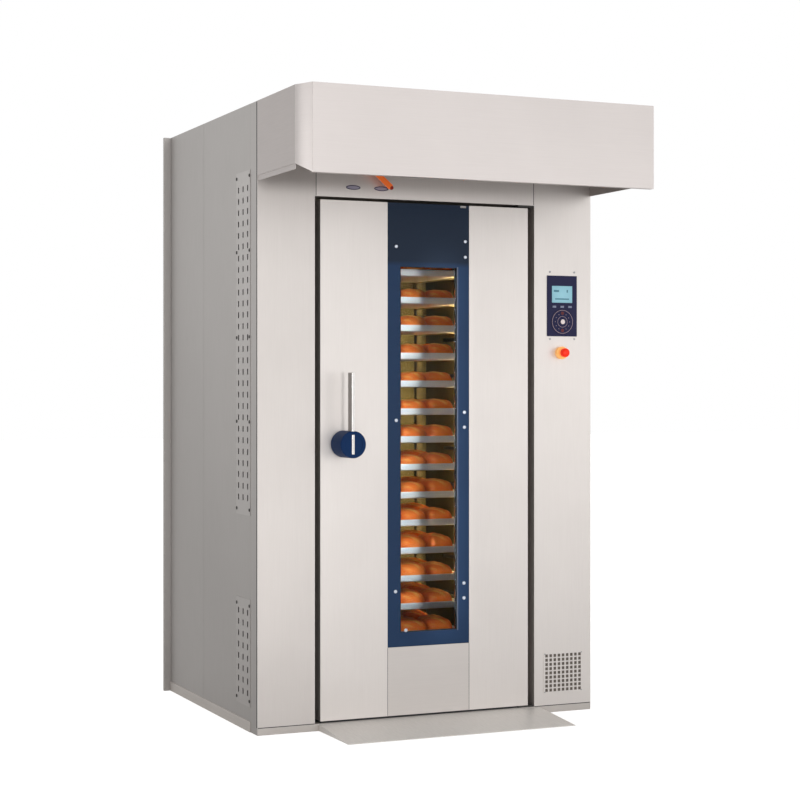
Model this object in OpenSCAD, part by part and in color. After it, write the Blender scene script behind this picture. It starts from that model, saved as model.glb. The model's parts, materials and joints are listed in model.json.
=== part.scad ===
// Rotating rack oven: insulated cabinet, swinging glazed door, vapour hood and a
// hanging rack of trays that a gearmotor on the roof turns in the hot air.
//
// Sizes are in millimetres. Every piece is laid out from the front left corner of
// the cabinet: x to the right, d backwards from the front face, z up from the floor.
// standing() then moves that corner so that the origin is on the floor, under the
// middle of the whole oven.

/* [Cabinet] */
// Width over the side cladding
body_w = 1440; // [1400:10:1600]
// Height of the cladding and of the hood's top
body_h = 2400; // [2390:5:2500]
// Depth from the front face to the back
body_d = 1150; // [1140:10:1300]
// Thickness of the folded steel sheets
sheet = 2; // [1.5:0.5:3]
// Depth of the corner return that the front columns show on the sides
column_return = 79; // [60:1:100]
// Depth at which the side cladding is split in two
side_seam = 663; // [500:1:800]
// Gap between neighbouring sheets at a seam
seam_gap = 2; // [1:0.5:4]
// How far the rear corner posts stand out past the sides
post_out = 30; // [20:1:40]
// Depth of the rear corner posts
post_t = 15; // [10:1:30]
// Height of the plinth rails along the sides
plinth_h = 40; // [34:1:60]
// How far the side rails stand out past the cladding
rail_out = 4; // [2:1:10]
// Width of the plinth rails
rail_w = 36; // [30:1:60]
// Depth of the machine well between the top and the roof deck
well_h = 100; // [90:1:110]
// Height of the oven floor above the ground
floor_h = 28; // [26:1:34]

/* [Doorway] */
// Width of the left front column
left_column_w = 233; // [200:1:260]
// Width of the right front column
right_column_w = 260; // [240:1:300]
// Distance of the header's lower edge below the top
header_z = 350; // [330:1:355]
// Depth of the doorway, from the front face to the seal frame
jamb_d = 122; // [120:1:140]
// Thickness of the seal frame
seal_frame_t = 3; // [2:0.5:5]
// Width of the ramp
ramp_w = 955; // [900:5:1000]
// Length of the ramp in front of the cabinet
ramp_len = 300; // [200:10:400]
// Height of the ramp where it meets the sill
ramp_h = 26; // [20:1:28]

/* [Door] */
// Gap at the handle side of the door
door_gap_left = 22; // [15:1:30]
// Gap at the hinge side of the door
door_gap_right = 29; // [25:1:40]
// Gap over the door
door_gap_top = 12; // [11:1:20]
// Gap under the door, over the sill
door_gap_bottom = 8; // [7:1:14]
// Thickness of the door
door_t = 110; // [100:1:112]
// Width of the middle zone with the window
middle_w = 352; // [340:1:380]
// Width of the steel panel on the hinge side
hinge_panel_w = 263; // [240:1:290]
// Height at which the blue frame starts
frame_z = 303; // [250:1:320]
// Width of the window
window_w = 242; // [200:1:280]
// Height of the window's sill
window_z = 361; // [340:1:420]
// Distance of the window's head below the door's top
window_top = 250; // [220:1:430]
// Width of the fold that the inner pane rests on
pane_lip = 7; // [5:0.5:20]
// Thickness of the glass panes
glass_t = 6; // [4:1:8]
// Distance of the seal from the door's edges
seal_inset = 20; // [19:1:30]
// Width of the seal
seal_w = 12; // [8:1:14]

/* [Handle and latch] */
// Distance of the handle's axis from the door's left edge
handle_in = 95; // [80:1:120]
// Height of the handle's axis
handle_z = 1099; // [900:1:1300]
// Radius of the handle's round boss
boss_r = 52; // [45:1:60]
// How far the handle stands out of the door
handle_out = 102; // [80:1:120]
// Width of the lever bar
lever_w = 12; // [8:1:16]
// Depth of the lever bar
lever_d = 40; // [30:1:50]
// Height of the lever's end above the axis
lever_up = 275; // [200:1:300]
// How far the lever reaches below the axis
lever_down = 40; // [30:1:42]
// Radius of the latch spindle
spindle_r = 10; // [8:0.5:12]
// Module of the latch's pinion and rack
latch_module = 4; // [3:0.5:4]
// Teeth of the latch's pinion
latch_teeth = 12; // [12:1:14]

/* [Hinge] */
// Radius of the door's pivot pins
pivot_r = 9; // [7:0.5:11]
// Distance of the pivot axis from the door's right edge
pivot_in = 18; // [16:1:18]
// Distance of the pivot axis from the door's front face
pivot_back = 25; // [22:1:28]
// Length of a pivot pin in the door
pivot_len = 42; // [30:1:60]

/* [Hood] */
// How far the hood reaches in front of the cabinet
hood_reach = 490; // [400:5:550]
// Height of the hood's front panel
fascia_h = 320; // [280:1:340]
// Distance of the hood's lower side edge below the top
hood_side_z = 282; // [200:1:300]
// Length of the chamfered left corner, along the side
chamfer_d = 85; // [60:1:120]
// Width of the chamfered left corner, along the front
chamfer_w = 36; // [25:1:60]
// Height of the drip lip under the hood's side
lip_h = 20; // [10:1:25]
// Radius of the extraction collar on the hood
hood_collar_r = 75; // [60:1:100]
// Height of the extraction collar
hood_collar_h = 28; // [20:1:45]

/* [Side vents] */
// Width of a vent plate
vent_plate_w = 162; // [150:1:180]
// Height of the upper vent plate's lower edge
upper_vent_z = 826; // [700:1:900]
// Distance of the upper vent plate's top edge below the top
upper_vent_top = 252; // [200:1:500]
// Height of the lower vent plate's lower edge
lower_vent_z = 95; // [60:1:140]
// Height of the lower vent plate's top edge
lower_vent_top = 505; // [400:1:560]
// Width of a slot
slot_w = 12; // [8:1:16]
// Height of a slot
slot_h = 22; // [16:1:30]
// Distance between slot columns
slot_pitch_d = 54; // [45:0.5:55]
// Distance between slot rows
slot_pitch_z = 44; // [40:0.1:60]

/* [Chamber] */
// Inner width of the baking chamber
chamber_w = 940; // [920:5:980]
// Depth that the doorway and the back wall take from the chamber
chamber_d = 230; // [190:5:240]
// Distance of the chamber's ceiling below the header's lower edge
chamber_top = 42; // [38:1:44]
// Thickness of the insulated cassettes
cassette_t = 100; // [80:1:110]
// Distance of the roof cassette's lower face below the top
plenum_top = 200; // [190:1:210]
// Depth of the service shafts behind the front columns
shaft_d = 262; // [240:1:280]
// Thickness of the wall between a shaft and its air duct
duct_wall = 60; // [50:1:80]
// Length of a louvre in the chamber walls
louvre_w = 150; // [100:1:160]
// Height of a louvre
louvre_h = 16; // [10:1:24]

/* [Rack] */
// Width of a tray
tray_w = 650; // [600:1:660]
// Depth of a tray
tray_d = 450; // [400:1:460]
// Height of a tray's rim
tray_h = 30; // [15:1:32]
// Thickness of the tray sheet
tray_t = 2; // [1.5:0.5:3]
// Number of trays
tray_count = 15; // [8:1:15]
// Height between trays
tray_pitch = 115; // [100:1:115]
// Height of the lowest tray's underside
tray_z = 281; // [270:1:290]
// Leg of the rack's angle posts
post_size = 25; // [20:1:30]
// Thickness of the rack's angle posts
post_wall = 3; // [2:0.5:5]
// Width of the runners that carry the trays
runner_w = 20; // [15:1:25]
// Thickness of the runners
runner_t = 2; // [1.5:0.5:3]
// Gap between a tray and the runner's upright leg
tray_side_gap = 1; // [0.5:0.5:2]
// Radius of a castor wheel
wheel_r = 50; // [40:1:55]
// Width of a castor wheel
wheel_w = 32; // [25:1:36]
// Trail of the turning castors
castor_trail = 25; // [15:1:30]
// How far the hoist lifts the rack off the floor
lift_travel = 12; // [8:1:14]

/* [Drive] */
// Radius of the spindle that carries the rack
shaft_r = 15; // [12:1:18]
// Module of the drive gears
gear_module = 3; // [2.5:0.5:3]
// Teeth of the gear on the spindle
gear_teeth = 60; // [56:4:64]
// Teeth of the gearmotor's pinion
pinion_teeth = 15; // [15:1:16]
// Thickness of the spindle's gear
gear_t = 15; // [10:1:18]
// Radius of the hoist's guide rods
guide_r = 8; // [6:1:10]
// Distance of the guide rods from the spindle
guide_x = 125; // [115:1:140]

/* [Fan and flue] */
// Distance of the fan's axis from the chamber's left wall
fan_in = 195; // [190:1:220]
// Distance of the fan's axis from the chamber's back wall
fan_back = 195; // [190:1:220]
// Radius of the fan wheel
fan_r = 150; // [120:1:160]
// Height of the fan wheel
fan_h = 90; // [60:1:100]
// Number of fan blades
fan_blades = 12; // [8:1:16]
// Radius of the fan's shaft
fan_shaft_r = 12; // [10:1:15]
// Outer radius of the flue
flue_r = 60; // [50:1:70]
// Wall of the flue
flue_wall = 2; // [1.5:0.5:3]
// Distance of the flue's axis behind the front face
flue_d = 330; // [310:1:360]
// Height of the flue's mouth over the top
flue_top = 60; // [40:1:100]
// Distance of the damper's axis from the left side
damper_x = 440; // [400:1:460]
// Distance of the damper's axis below the top
damper_z = 226; // [220:1:235]
// Radius of the damper's shaft
damper_shaft_r = 6; // [5:0.5:8]
// Length of the damper's lever
damper_lever = 135; // [100:1:140]
// Angle at which the lever hangs below level
damper_angle = 40.7; // [30:0.1:45]

/* [Controls] */
// Width of the control panel
panel_w = 137; // [130:1:150]
// Height of the control panel's lower edge
panel_z = 1524; // [1500:1:1560]
// Height of the control panel
panel_h = 246; // [235:1:260]
// How far the control panel stands out
panel_out = 3; // [3:0.5:12]
// Distance of the screen from the panel's sides
screen_in = 21.5; // [18:0.5:30]
// Radius of the dial
dial_r = 49; // [35:1:50]
// How far the dial stands off the panel
dial_out = 3; // [3:0.5:12]
// Height of the dial's axis
dial_z = 1583; // [1578:1:1590]
// Width of a key
key_w = 16; // [10:1:20]
// Height of a key
key_h = 8; // [6:1:10]
// Distance between keys
key_pitch = 36; // [24:1:38]
// Radius of the emergency stop's mushroom head
stop_r = 18; // [16:1:25]
// How far the emergency stop's collar stands out
stop_out = 19; // [8:1:24]
// Height of the emergency stop
stop_z = 1457; // [1400:1:1470]
// Height of the electrical box's lower edge
electrical_z = 1080; // [1000:10:1200]
// Height of the electrical box
electrical_h = 820; // [700:10:850]
// Width of the ventilation grille
grille_w = 180; // [140:1:180]
// Height of the ventilation grille
grille_h = 166; // [120:1:180]
// Height of the grille's lower edge
grille_z = 77; // [70:1:120]
// Pitch of the grille's square holes across
grille_pitch = 19; // [14:1:20]
// Pitch of the grille's square holes upwards
grille_rise = 17.4; // [14:0.2:20]
// Width of a grille hole
grille_hole = 12; // [8:0.5:12]

/* [Fits] */
// Radial clearance of a shaft in its bearing
running = 0.05; // [0.02:0.01:0.1]
// Clearance between parts that pass each other
clear = 0.3; // [0.2:0.05:1]
// Clearance of a hole that only lets something through
through = 1; // [0.5:0.5:3]

/* [Hidden] */
$fn = 48;
front_y = (hood_reach - body_d) / 2;
// heights that follow the cabinet's top
lintel_z = body_h - header_z;
ceiling_z = lintel_z - chamber_top;
plenum_z = body_h - plenum_top;
deck_z = body_h - well_h;
hood_edge_z = body_h - hood_side_z;
upper_vent_z1 = body_h - upper_vent_top;
flap_z = body_h - damper_z;
flue_end = body_h + flue_top;
// doorway and door
doorway_x0 = left_column_w;
doorway_x1 = body_w - right_column_w;
mid_x = (doorway_x0 + doorway_x1) / 2;
door_x0 = doorway_x0 + door_gap_left;
door_x1 = doorway_x1 - door_gap_right;
door_z = floor_h + door_gap_bottom;
door_top = lintel_z - door_gap_top;
window_head = door_top - window_top;
middle_x1 = door_x1 - hinge_panel_w;
middle_x0 = middle_x1 - middle_w;
window_mid = (middle_x0 + middle_x1) / 2;
tunnel_x0 = middle_x0 + 6;
tunnel_x1 = middle_x1 - 6;
tunnel_over = 20;
inner_pane_d = door_t - sheet - glass_t - 6;
door_inner = door_t - sheet;
seal_x0 = door_x0 + seal_inset;
seal_x1 = door_x1 - seal_inset;
seal_top = door_top - seal_inset;
seal_z = floor_h + 2;
opening_x0 = seal_x0 + seal_w + 2;
opening_x1 = seal_x1 - seal_w - 2;
opening_top = seal_top - seal_w - 2;
pivot_x = door_x1 - pivot_in;
hinge_plate_t = 6;
hinge_block = [36, 36, pivot_len + 3];
// handle and latch
handle_x = door_x0 + handle_in;
latch_pitch_r = latch_module * latch_teeth / 2;
latch_travel = latch_pitch_r * PI / 2;
latch_d0 = 50;
latch_t = 12;
latch_bar_h = 16;
latch_rack_z = handle_z - latch_pitch_r;
latch_root_z = latch_rack_z - 1.1 * latch_module;
latch_bar_z = latch_root_z - latch_bar_h;
case_x0 = door_x0 + 7;
case_x1 = handle_x + 90;
case_z0 = latch_bar_z - 8;
case_z1 = handle_z + latch_pitch_r + latch_module + 8;
case_d0 = latch_d0 - 6;
case_d1 = latch_d0 + latch_t + 6;
case_wall = 3;
bolt_x0 = door_x0 + 2;
// chamber
chamber_x0 = mid_x - chamber_w / 2;
chamber_x1 = mid_x + chamber_w / 2;
liner_d0 = jamb_d + seal_frame_t;
chamber_d1 = liner_d0 + body_d - chamber_d;
rack_d = (liner_d0 + chamber_d1) / 2;
leg_x0 = chamber_x0 - sheet - cassette_t;
leg_x1 = chamber_x1 + sheet + cassette_t;
rear_cassette_d = chamber_d1 + sheet;
// rack
rack_w = tray_w + 2 * 20;
rack_depth = tray_d + 2 * (post_size + 5);
wheel_z = floor_h + lift_travel + clear + wheel_r;
base_ring_z = wheel_z + wheel_r + 20;
base_ring_h = 30;
head_z = ceiling_z - 41;
rack_top = head_z - 12;
// as many trays as the rack's height takes
tray_places = floor((rack_top - 22 - tray_h - tray_z) / tray_pitch) + 1;
head_t = 8;
castor_x = rack_w / 2 - 60;
castor_y = rack_depth / 2 - 60;
stem_r = 8;
// drive
gear_z = deck_z + 50;
pinion_z = gear_z - lift_travel - 4;
gear_r = gear_module * gear_teeth / 2;
pinion_r = gear_module * pinion_teeth / 2;
pinion_d = rack_d - gear_r - pinion_r;
crosshead_z = deck_z + 130;
crosshead_t = 14;
crosshead_w = 60;
bridge_z = deck_z + 195;
collar_r = 26;
actuator_r = 22;
actuator_back = gear_r + 32;
rod_r = 9;
// fan and flue
fan_x = chamber_x0 + fan_in;
fan_d = chamber_d1 - fan_back;
fan_z = ceiling_z + sheet + 20;
damper_end = flue_d + flue_r + 12;
// steam and water
water_r = 10.5;
water_x = chamber_x0 - 72;
water_d = rack_d + 100;
// cable entry over the electrical shaft
cable_r = 16.25;
cable_x = body_w - 80;
cable_d = shaft_d - 60;
cascade_z = 300;
cascade_top = ceiling_z - 108;
// heating elements
rod_element_r = 6;
element_bend = 50;
element_pitch = 90;
element_row = 70;
element_plate = [6, 460, 140];
element_x0 = mid_x + 93.5;
element_d = rack_d + 45;
element_z = ceiling_z + 92;
// fan motor
motor_r = 70;
motor_h = 190;
// controls
panel_x0 = body_w - right_column_w + 58;
panel_mid = panel_x0 + panel_w / 2;
key_z = panel_z + 120;
screen_z = panel_z + 136;
screen_h = 69;
key_travel = 1;
stop_x = panel_x0 + 63;
stop_travel = 6;
dial_face = -panel_out - dial_out;
grille_x0 = body_w - right_column_w + 42;
steel = [0.82, 0.81, 0.80];
steel_side = [0.66, 0.65, 0.64];
blue = [0.10, 0.24, 0.42];

// shared shapes

module standing() {
    translate([-body_w / 2, front_y, 0]) children();
}

// box between two opposite corners
module block(low, high) {
    translate(low) cube(high - low);
}

// cylinder along z, from one height to another
module upright(x, d, z0, z1, r, fn = 48) {
    translate([x, d, z0]) cylinder(h = z1 - z0, r = r, $fn = fn);
}

// cylinder along the depth
module level(x, z, d0, d1, r, fn = 48) {
    translate([x, d0, z]) rotate([-90, 0, 0]) cylinder(h = d1 - d0, r = r, $fn = fn);
}

// plan outline raised between two heights
module raised(outline, z0, z1) {
    translate([0, 0, z0]) linear_extrude(z1 - z0) polygon(outline);
}

// involute angle at a radius, for a base circle
function involute(base, r) = r <= base ? 0 : tan(acos(base / r)) * 180 / PI - acos(base / r);

// half the angle of a tooth at a radius
function tooth_half(m, n, r, slack) =
    90 / n - slack / 2 / (m * n / 2) * 180 / PI / 2
    + involute(m * n / 2 * cos(20), m * n / 2) - involute(m * n / 2 * cos(20), r);

// outline of a gear with stub teeth
function gear_points(m, n, slack) = [
    for (i = [0 : n - 1])
        let (pitch = m * n / 2, radii = [pitch - 1.1 * m, pitch - 0.5 * m, pitch, pitch + 0.8 * m])
            for (k = [0 : 7])
                let (
                    r = radii[k < 4 ? k : 7 - k],
                    side = k < 4 ? -1 : 1,
                    angle = i * 360 / n + side * tooth_half(m, n, max(r, pitch * cos(20)), slack)
                )
                    [r * cos(angle), r * sin(angle)]
];

module gear_outline(m, n, slack) {
    polygon(gear_points(m, n, slack));
}

// cabinet

module base_frame() {
    color([0.35, 0.35, 0.36])
        standing()
            union() {
                for (x = [-rail_out, body_w - rail_w])
                    block([x, column_return, 0], [x + rail_w + rail_out, body_d - post_t, plinth_h]);
                block([sheet, 0, 0], [body_w - sheet, rail_w, floor_h]);
                for (x = [sheet, body_w - rail_w])
                    block([x, rail_w, 0], [x + rail_w - sheet, column_return, floor_h]);
                block([sheet, body_d - sheet - rail_w, 0], [body_w - sheet, body_d - sheet, plinth_h]);
            }
}

module chamber_floor() {
    color([0.5, 0.5, 0.5])
        standing()
            block([rail_w, rail_w, 0], [body_w - rail_w, body_d - sheet - rail_w, floor_h]);
}

module entry_ramp() {
    toe = 3;
    color([0.62, 0.62, 0.6])
        standing()
            translate([mid_x - ramp_w / 2 + 20, 0, 0])
                rotate([90, 0, 90])
                    linear_extrude(ramp_w)
                        polygon([[-ramp_len, 0], [0, 0], [0, ramp_h], [-ramp_len, toe]]);
}

// side sheets: two on each side, with the air openings behind the vent plates
module side_panels() {
    color(steel_side)
        standing()
            for (x = [0, body_w - sheet])
                difference() {
                    union() {
                        block([x, column_return, plinth_h], [x + sheet, side_seam, body_h]);
                        block([x, side_seam + seam_gap, plinth_h], [x + sheet, body_d - post_t, body_h]);
                    }
                    if (x == 0)
                        for (band = [[lower_vent_z, lower_vent_top], [upper_vent_z, upper_vent_z1]])
                            block(
                                [-1, column_return + 14, band[0] + 24],
                                [sheet + 1, column_return + vent_plate_w - 14, band[1] - 24]
                            );
                }
}

module vent_plate(z0, z1) {
    rows = floor((z1 - z0 - slot_h - 76) / slot_pitch_z) + 1;
    first = (z0 + z1 - (rows - 1) * slot_pitch_z) / 2;
    middle = column_return + 1 + vent_plate_w / 2;
    difference() {
        block([-sheet, column_return + 1, z0], [0, column_return + 1 + vent_plate_w, z1]);
        for (row = [0 : rows - 1])
            for (column = [-1, 0, 1])
                translate([
                    -sheet - 1,
                    middle + column * slot_pitch_d - slot_w / 2,
                    first + row * slot_pitch_z - slot_h / 2
                ])
                    cube([sheet + 2, slot_w, slot_h]);
    }
}

module side_vent_plates() {
    color([0.62, 0.61, 0.59])
        standing() {
            vent_plate(upper_vent_z, upper_vent_z1);
            vent_plate(lower_vent_z, lower_vent_top);
        }
}

// back sheet between its two folded corner posts
module rear_panel() {
    color(steel_side)
        standing()
            union() {
                block([sheet, body_d - sheet, plinth_h], [body_w - sheet, body_d, body_h]);
                for (x = [-post_out, body_w - sheet])
                    block([x, body_d - post_t, 0], [x + post_out + sheet, body_d, body_h]);
            }
}

module roof_deck() {
    color([0.6, 0.6, 0.6])
        standing()
            difference() {
                block([sheet, sheet, deck_z - sheet], [body_w - sheet, body_d - sheet, deck_z]);
                upright(mid_x, rack_d, deck_z - 10, deck_z + 10, shaft_r + 5);
                upright(fan_x, fan_d, deck_z - 10, deck_z + 10, fan_shaft_r + 4);
                upright(damper_x, flue_d, deck_z - 10, deck_z + 10, flue_r + through / 2);
                upright(water_x, water_d, deck_z - 10, deck_z + 10, water_r + through / 2);
                upright(cable_x, cable_d, deck_z - 10, deck_z + 10, cable_r);
            }
}

module left_column() {
    color(steel)
        standing()
            difference() {
                union() {
                    block([0, 0, floor_h], [left_column_w, sheet, body_h]);
                    block([0, 0, 0], [sheet, column_return, body_h]);
                    block([left_column_w - sheet, 0, floor_h], [left_column_w, jamb_d, lintel_z + sheet]);
                }
                // pocket for the latch bolt
                block(
                    [left_column_w - sheet - 1, latch_d0 - 2, latch_bar_z - 2],
                    [left_column_w + 1, latch_d0 + latch_t + 2, latch_root_z + 2]
                );
            }
}

module right_column() {
    color(steel)
        standing()
            difference() {
                union() {
                    block([doorway_x1, 0, floor_h], [body_w, sheet, body_h]);
                    block([body_w - sheet, 0, 0], [body_w, column_return, body_h]);
                    block([doorway_x1, 0, floor_h], [doorway_x1 + sheet, jamb_d, lintel_z + sheet]);
                }
                block(
                    [panel_x0 + 8, -1, panel_z + 8],
                    [panel_x0 + panel_w - 8, sheet + 1, panel_z + panel_h - 8]
                );
                level(stop_x, stop_z, -1, sheet + 1, 11 + running);
                block(
                    [grille_x0 + 4, -1, grille_z + 4],
                    [grille_x0 + grille_w - 4, sheet + 1, grille_z + grille_h - 4]
                );
            }
}

module header_panel() {
    color(steel)
        standing()
            difference() {
                union() {
                    block([doorway_x0, 0, lintel_z], [doorway_x1, sheet, body_h]);
                    block([doorway_x0, sheet, lintel_z], [doorway_x1, jamb_d, lintel_z + sheet]);
                }
                level(damper_x, flap_z, -1, sheet + 1, damper_shaft_r + running);
            }
}

// hood

module hood_fascia() {
    color(steel)
        standing() {
            block([chamfer_w, -hood_reach, body_h - fascia_h], [body_w, sheet - hood_reach, body_h]);
            block(
                [chamfer_w, sheet - hood_reach, body_h - fascia_h],
                [body_w - sheet, sheet + 20 - hood_reach, body_h - fascia_h + sheet]
            );
        }
}

// plan outline of the sheet that turns the left corner
function corner_outline(inset) = [
    [inset, 0], [inset, -hood_reach + chamfer_d + inset / 3],
    [chamfer_w + inset / 3, -hood_reach + inset],
];

module hood_canopy() {
    bend_d = -hood_reach + chamfer_d;
    low = body_h - fascia_h;
    color(steel)
        standing()
            difference() {
                union() {
                    // top sheet
                    raised(
                        [
                            [0, 0], [0, bend_d],
                            [chamfer_w, -hood_reach], [chamfer_w, sheet - hood_reach],
                            [body_w, sheet - hood_reach], [body_w, 0]
                        ],
                        body_h - sheet, body_h
                    );
                    // left side and its chamfered corner
                    difference() {
                        raised(
                            [
                                [0, 0], [0, bend_d],
                                [chamfer_w, -hood_reach], [chamfer_w, sheet - hood_reach],
                                [sheet, bend_d + sheet / 3], [sheet, 0]
                            ],
                            low, body_h
                        );
                        translate([-1, 0, 0])
                            rotate([90, 0, 90])
                                linear_extrude(chamfer_w + 2)
                                    polygon([
                                        [1, low - 1], [1, hood_edge_z], [bend_d, hood_edge_z],
                                        [-hood_reach - 1, low], [-hood_reach - 1, low - 1]
                                    ]);
                    }
                    // right side
                    block([body_w - sheet, sheet - hood_reach, hood_edge_z], [body_w, 0, body_h]);
                    // drip lips inside the lower edges
                    for (x = [sheet, body_w - 2 * sheet])
                        block([x, bend_d, hood_edge_z - lip_h], [x + sheet, 0, hood_edge_z + lip_h]);
                    // extraction collar
                    upright(
                        mid_x, -hood_reach / 2,
                        body_h - sheet, body_h + hood_collar_h, hood_collar_r, 64
                    );
                }
                upright(
                    mid_x, -hood_reach / 2,
                    body_h - 10, body_h + hood_collar_h + 1, hood_collar_r - sheet, 64
                );
            }
}

// chamber

module seal_frame() {
    color([0.55, 0.55, 0.55])
        standing()
            difference() {
                block([doorway_x0 - 20, jamb_d, floor_h], [doorway_x1 + 20, liner_d0, lintel_z + 20]);
                block([opening_x0, jamb_d - 1, floor_h - 1], [opening_x1, liner_d0 + 1, opening_top]);
            }
}

// louvres in rows up a side wall
module louvres(x) {
    for (z = [240 : 160 : ceiling_z - 168])
        for (k = [-1, 0, 1])
            block(
                [x - 1, rack_d + k * 200 - louvre_w / 2, z],
                [x + sheet + 1, rack_d + k * 200 + louvre_w / 2, z + louvre_h]
            );
}

module chamber_walls() {
    top = ceiling_z - clear;
    color([0.6, 0.6, 0.58])
        standing()
            difference() {
                union() {
                    block([chamber_x0 - sheet, liner_d0, floor_h], [chamber_x0, chamber_d1 - clear, top]);
                    block([chamber_x1, liner_d0, floor_h], [chamber_x1 + sheet, chamber_d1 - clear, top]);
                    block(
                        [chamber_x0 - sheet, chamber_d1, floor_h],
                        [chamber_x1 + sheet, rear_cassette_d, top]
                    );
                    block(
                        [chamber_x0 - sheet, liner_d0, ceiling_z],
                        [chamber_x1 + sheet, rear_cassette_d, ceiling_z + sheet]
                    );
                }
                louvres(chamber_x0 - sheet);
                louvres(chamber_x1);
                upright(mid_x, rack_d, ceiling_z - 1, ceiling_z + sheet + 1, shaft_r + 5);
                upright(fan_x, fan_d, ceiling_z - 1, ceiling_z + sheet + 1, fan_r * 0.75, 64);
                upright(damper_x, flue_d, ceiling_z - 1, ceiling_z + sheet + 1, flue_r - flue_wall, 64);
            }
}

// insulated cassettes: left, right and rear walls and the lintel over the doorway
module wall_cassettes() {
    in_x0 = chamber_x0 - sheet;
    in_x1 = chamber_x1 + sheet;
    out_x0 = sheet;
    out_x1 = body_w - sheet;
    duct_d = shaft_d + duct_wall;
    color([0.45, 0.45, 0.44])
        standing() {
            raised(
                [
                    [leg_x0, liner_d0], [in_x0, liner_d0], [in_x0, duct_d], [out_x0 + cassette_t, duct_d],
                    [out_x0 + cassette_t, rear_cassette_d], [out_x0, rear_cassette_d], [out_x0, shaft_d],
                    [leg_x0, shaft_d]
                ],
                plinth_h, plenum_z
            );
            raised(
                [
                    [leg_x1, liner_d0], [in_x1, liner_d0], [in_x1, duct_d], [out_x1 - cassette_t, duct_d],
                    [out_x1 - cassette_t, rear_cassette_d], [out_x1, rear_cassette_d], [out_x1, shaft_d],
                    [leg_x1, shaft_d]
                ],
                plinth_h, plenum_z
            );
            translate([0, clear, 0])
                block([out_x0, rear_cassette_d, plinth_h], [out_x1, body_d - sheet - clear, plenum_z]);
            difference() {
                block(
                    [in_x0 + clear, liner_d0, ceiling_z + sheet],
                    [in_x1 - clear, liner_d0 + cassette_t, plenum_z]
                );
                level(damper_x, flap_z, 0, shaft_d, damper_shaft_r + through);
            }
        }
}

module roof_cassette() {
    color([0.45, 0.45, 0.44])
        standing()
            difference() {
                block([sheet, liner_d0, plenum_z], [body_w - sheet, body_d - sheet, deck_z - sheet]);
                upright(mid_x, rack_d, plenum_z - 1, deck_z, shaft_r + 5);
                upright(fan_x, fan_d, plenum_z - 1, deck_z, fan_shaft_r + 4);
                upright(damper_x, flue_d, plenum_z - 1, deck_z, flue_r + through / 2);
                upright(water_x, water_d, plenum_z - 1, deck_z, water_r + through / 2);
                upright(cable_x, cable_d, plenum_z - 1, deck_z, cable_r);
            }
}

// stack of troughs in the left duct that turns water into steam
module steam_cascade() {
    side_x = sheet + cassette_t;
    length = 360;
    width = 100;
    wall = 4;
    d0 = water_d - length / 2;
    color([0.5, 0.48, 0.45])
        standing() {
            for (d = [d0, d0 + length - wall])
                block([side_x, d, cascade_z], [side_x + width, d + wall, cascade_top]);
            for (z = [cascade_z + 20 : 130 : cascade_top - 20])
                difference() {
                    block([side_x + 12, d0, z], [side_x + width, d0 + length, z + 30]);
                    block(
                        [side_x + 12 + wall, d0 + wall, z + wall],
                        [side_x + width - wall, d0 + length - wall, z + 31]
                    );
                }
            difference() {
                union() {
                    upright(water_x, water_d, cascade_top + 15, deck_z + 45, water_r);
                    // nut that clamps the pipe to the roof deck
                    upright(water_x, water_d, deck_z, deck_z + 8, water_r + 8);
                }
                upright(water_x, water_d, cascade_top + 14, deck_z + 46, water_r - 2.5);
            }
            block(
                [side_x, water_d - 15, cascade_top + 20],
                [water_x - water_r + 1, water_d + 15, cascade_top + 26]
            );
            block([side_x, d0, cascade_top - 20], [side_x + wall, d0 + length, cascade_top + 30]);
        }
}

// one hairpin rod lying along x
module hairpin(d, z, x0, x1, spread) {
    for (side = [-1, 1])
        translate([x0, d + side * spread / 2, z])
            rotate([0, 90, 0])
                cylinder(h = x1 - x0, r = rod_element_r, $fn = 24);
    translate([x0, d, z])
        rotate([0, 0, 90])
            rotate_extrude(angle = 180, $fn = 48)
                translate([spread / 2, 0]) circle(r = rod_element_r, $fn = 24);
}

module heating_elements() {
    plate_x = body_w - sheet - cassette_t - element_plate[0];
    plate_d = element_d - element_plate[1] / 2;
    plate_z = element_z - element_plate[2] / 2;
    color([0.32, 0.30, 0.29])
        standing() {
            block([plate_x, plate_d, plate_z], [plate_x, plate_d, plate_z] + element_plate);
            for (k = [-2 : 2])
                for (side = [-0.5, 0.5])
                    hairpin(
                        element_d + k * element_pitch, element_z + side * element_row,
                        element_x0, plate_x, element_bend
                    );
        }
}

module fan_motor() {
    color([0.25, 0.32, 0.36])
        standing()
            difference() {
                union() {
                    upright(fan_x, fan_d, deck_z, deck_z + 12, motor_r + 25);
                    upright(fan_x, fan_d, deck_z + 12, deck_z + motor_h, motor_r);
                    upright(fan_x, fan_d, deck_z + motor_h, deck_z + motor_h + 22, motor_r + 4);
                    block(
                        [fan_x - 40, fan_d - motor_r - 26, deck_z + 60],
                        [fan_x + 40, fan_d - 40, deck_z + 130]
                    );
                    for (angle = [0 : 15 : 345])
                        translate([fan_x, fan_d, deck_z + 20])
                            rotate(angle)
                                translate([motor_r - 4, -2, 0])
                                    cube([12, 4, motor_h - 30]);
                }
                upright(fan_x, fan_d, deck_z - 1, deck_z + 60, fan_shaft_r + running);
            }
}

module flue_pipe() {
    color([0.7, 0.7, 0.7])
        standing()
            difference() {
                union() {
                    upright(damper_x, flue_d, ceiling_z + sheet, flue_end, flue_r, 64);
                    upright(damper_x, flue_d, deck_z, deck_z + 4, flue_r + 25, 64);
                }
                upright(damper_x, flue_d, ceiling_z, flue_end + 1, flue_r - flue_wall, 64);
                level(
                    damper_x, flap_z,
                    flue_d - flue_r - 5, flue_d + flue_r + 5, damper_shaft_r + running
                );
            }
}

// rack drive on the roof deck

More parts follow.
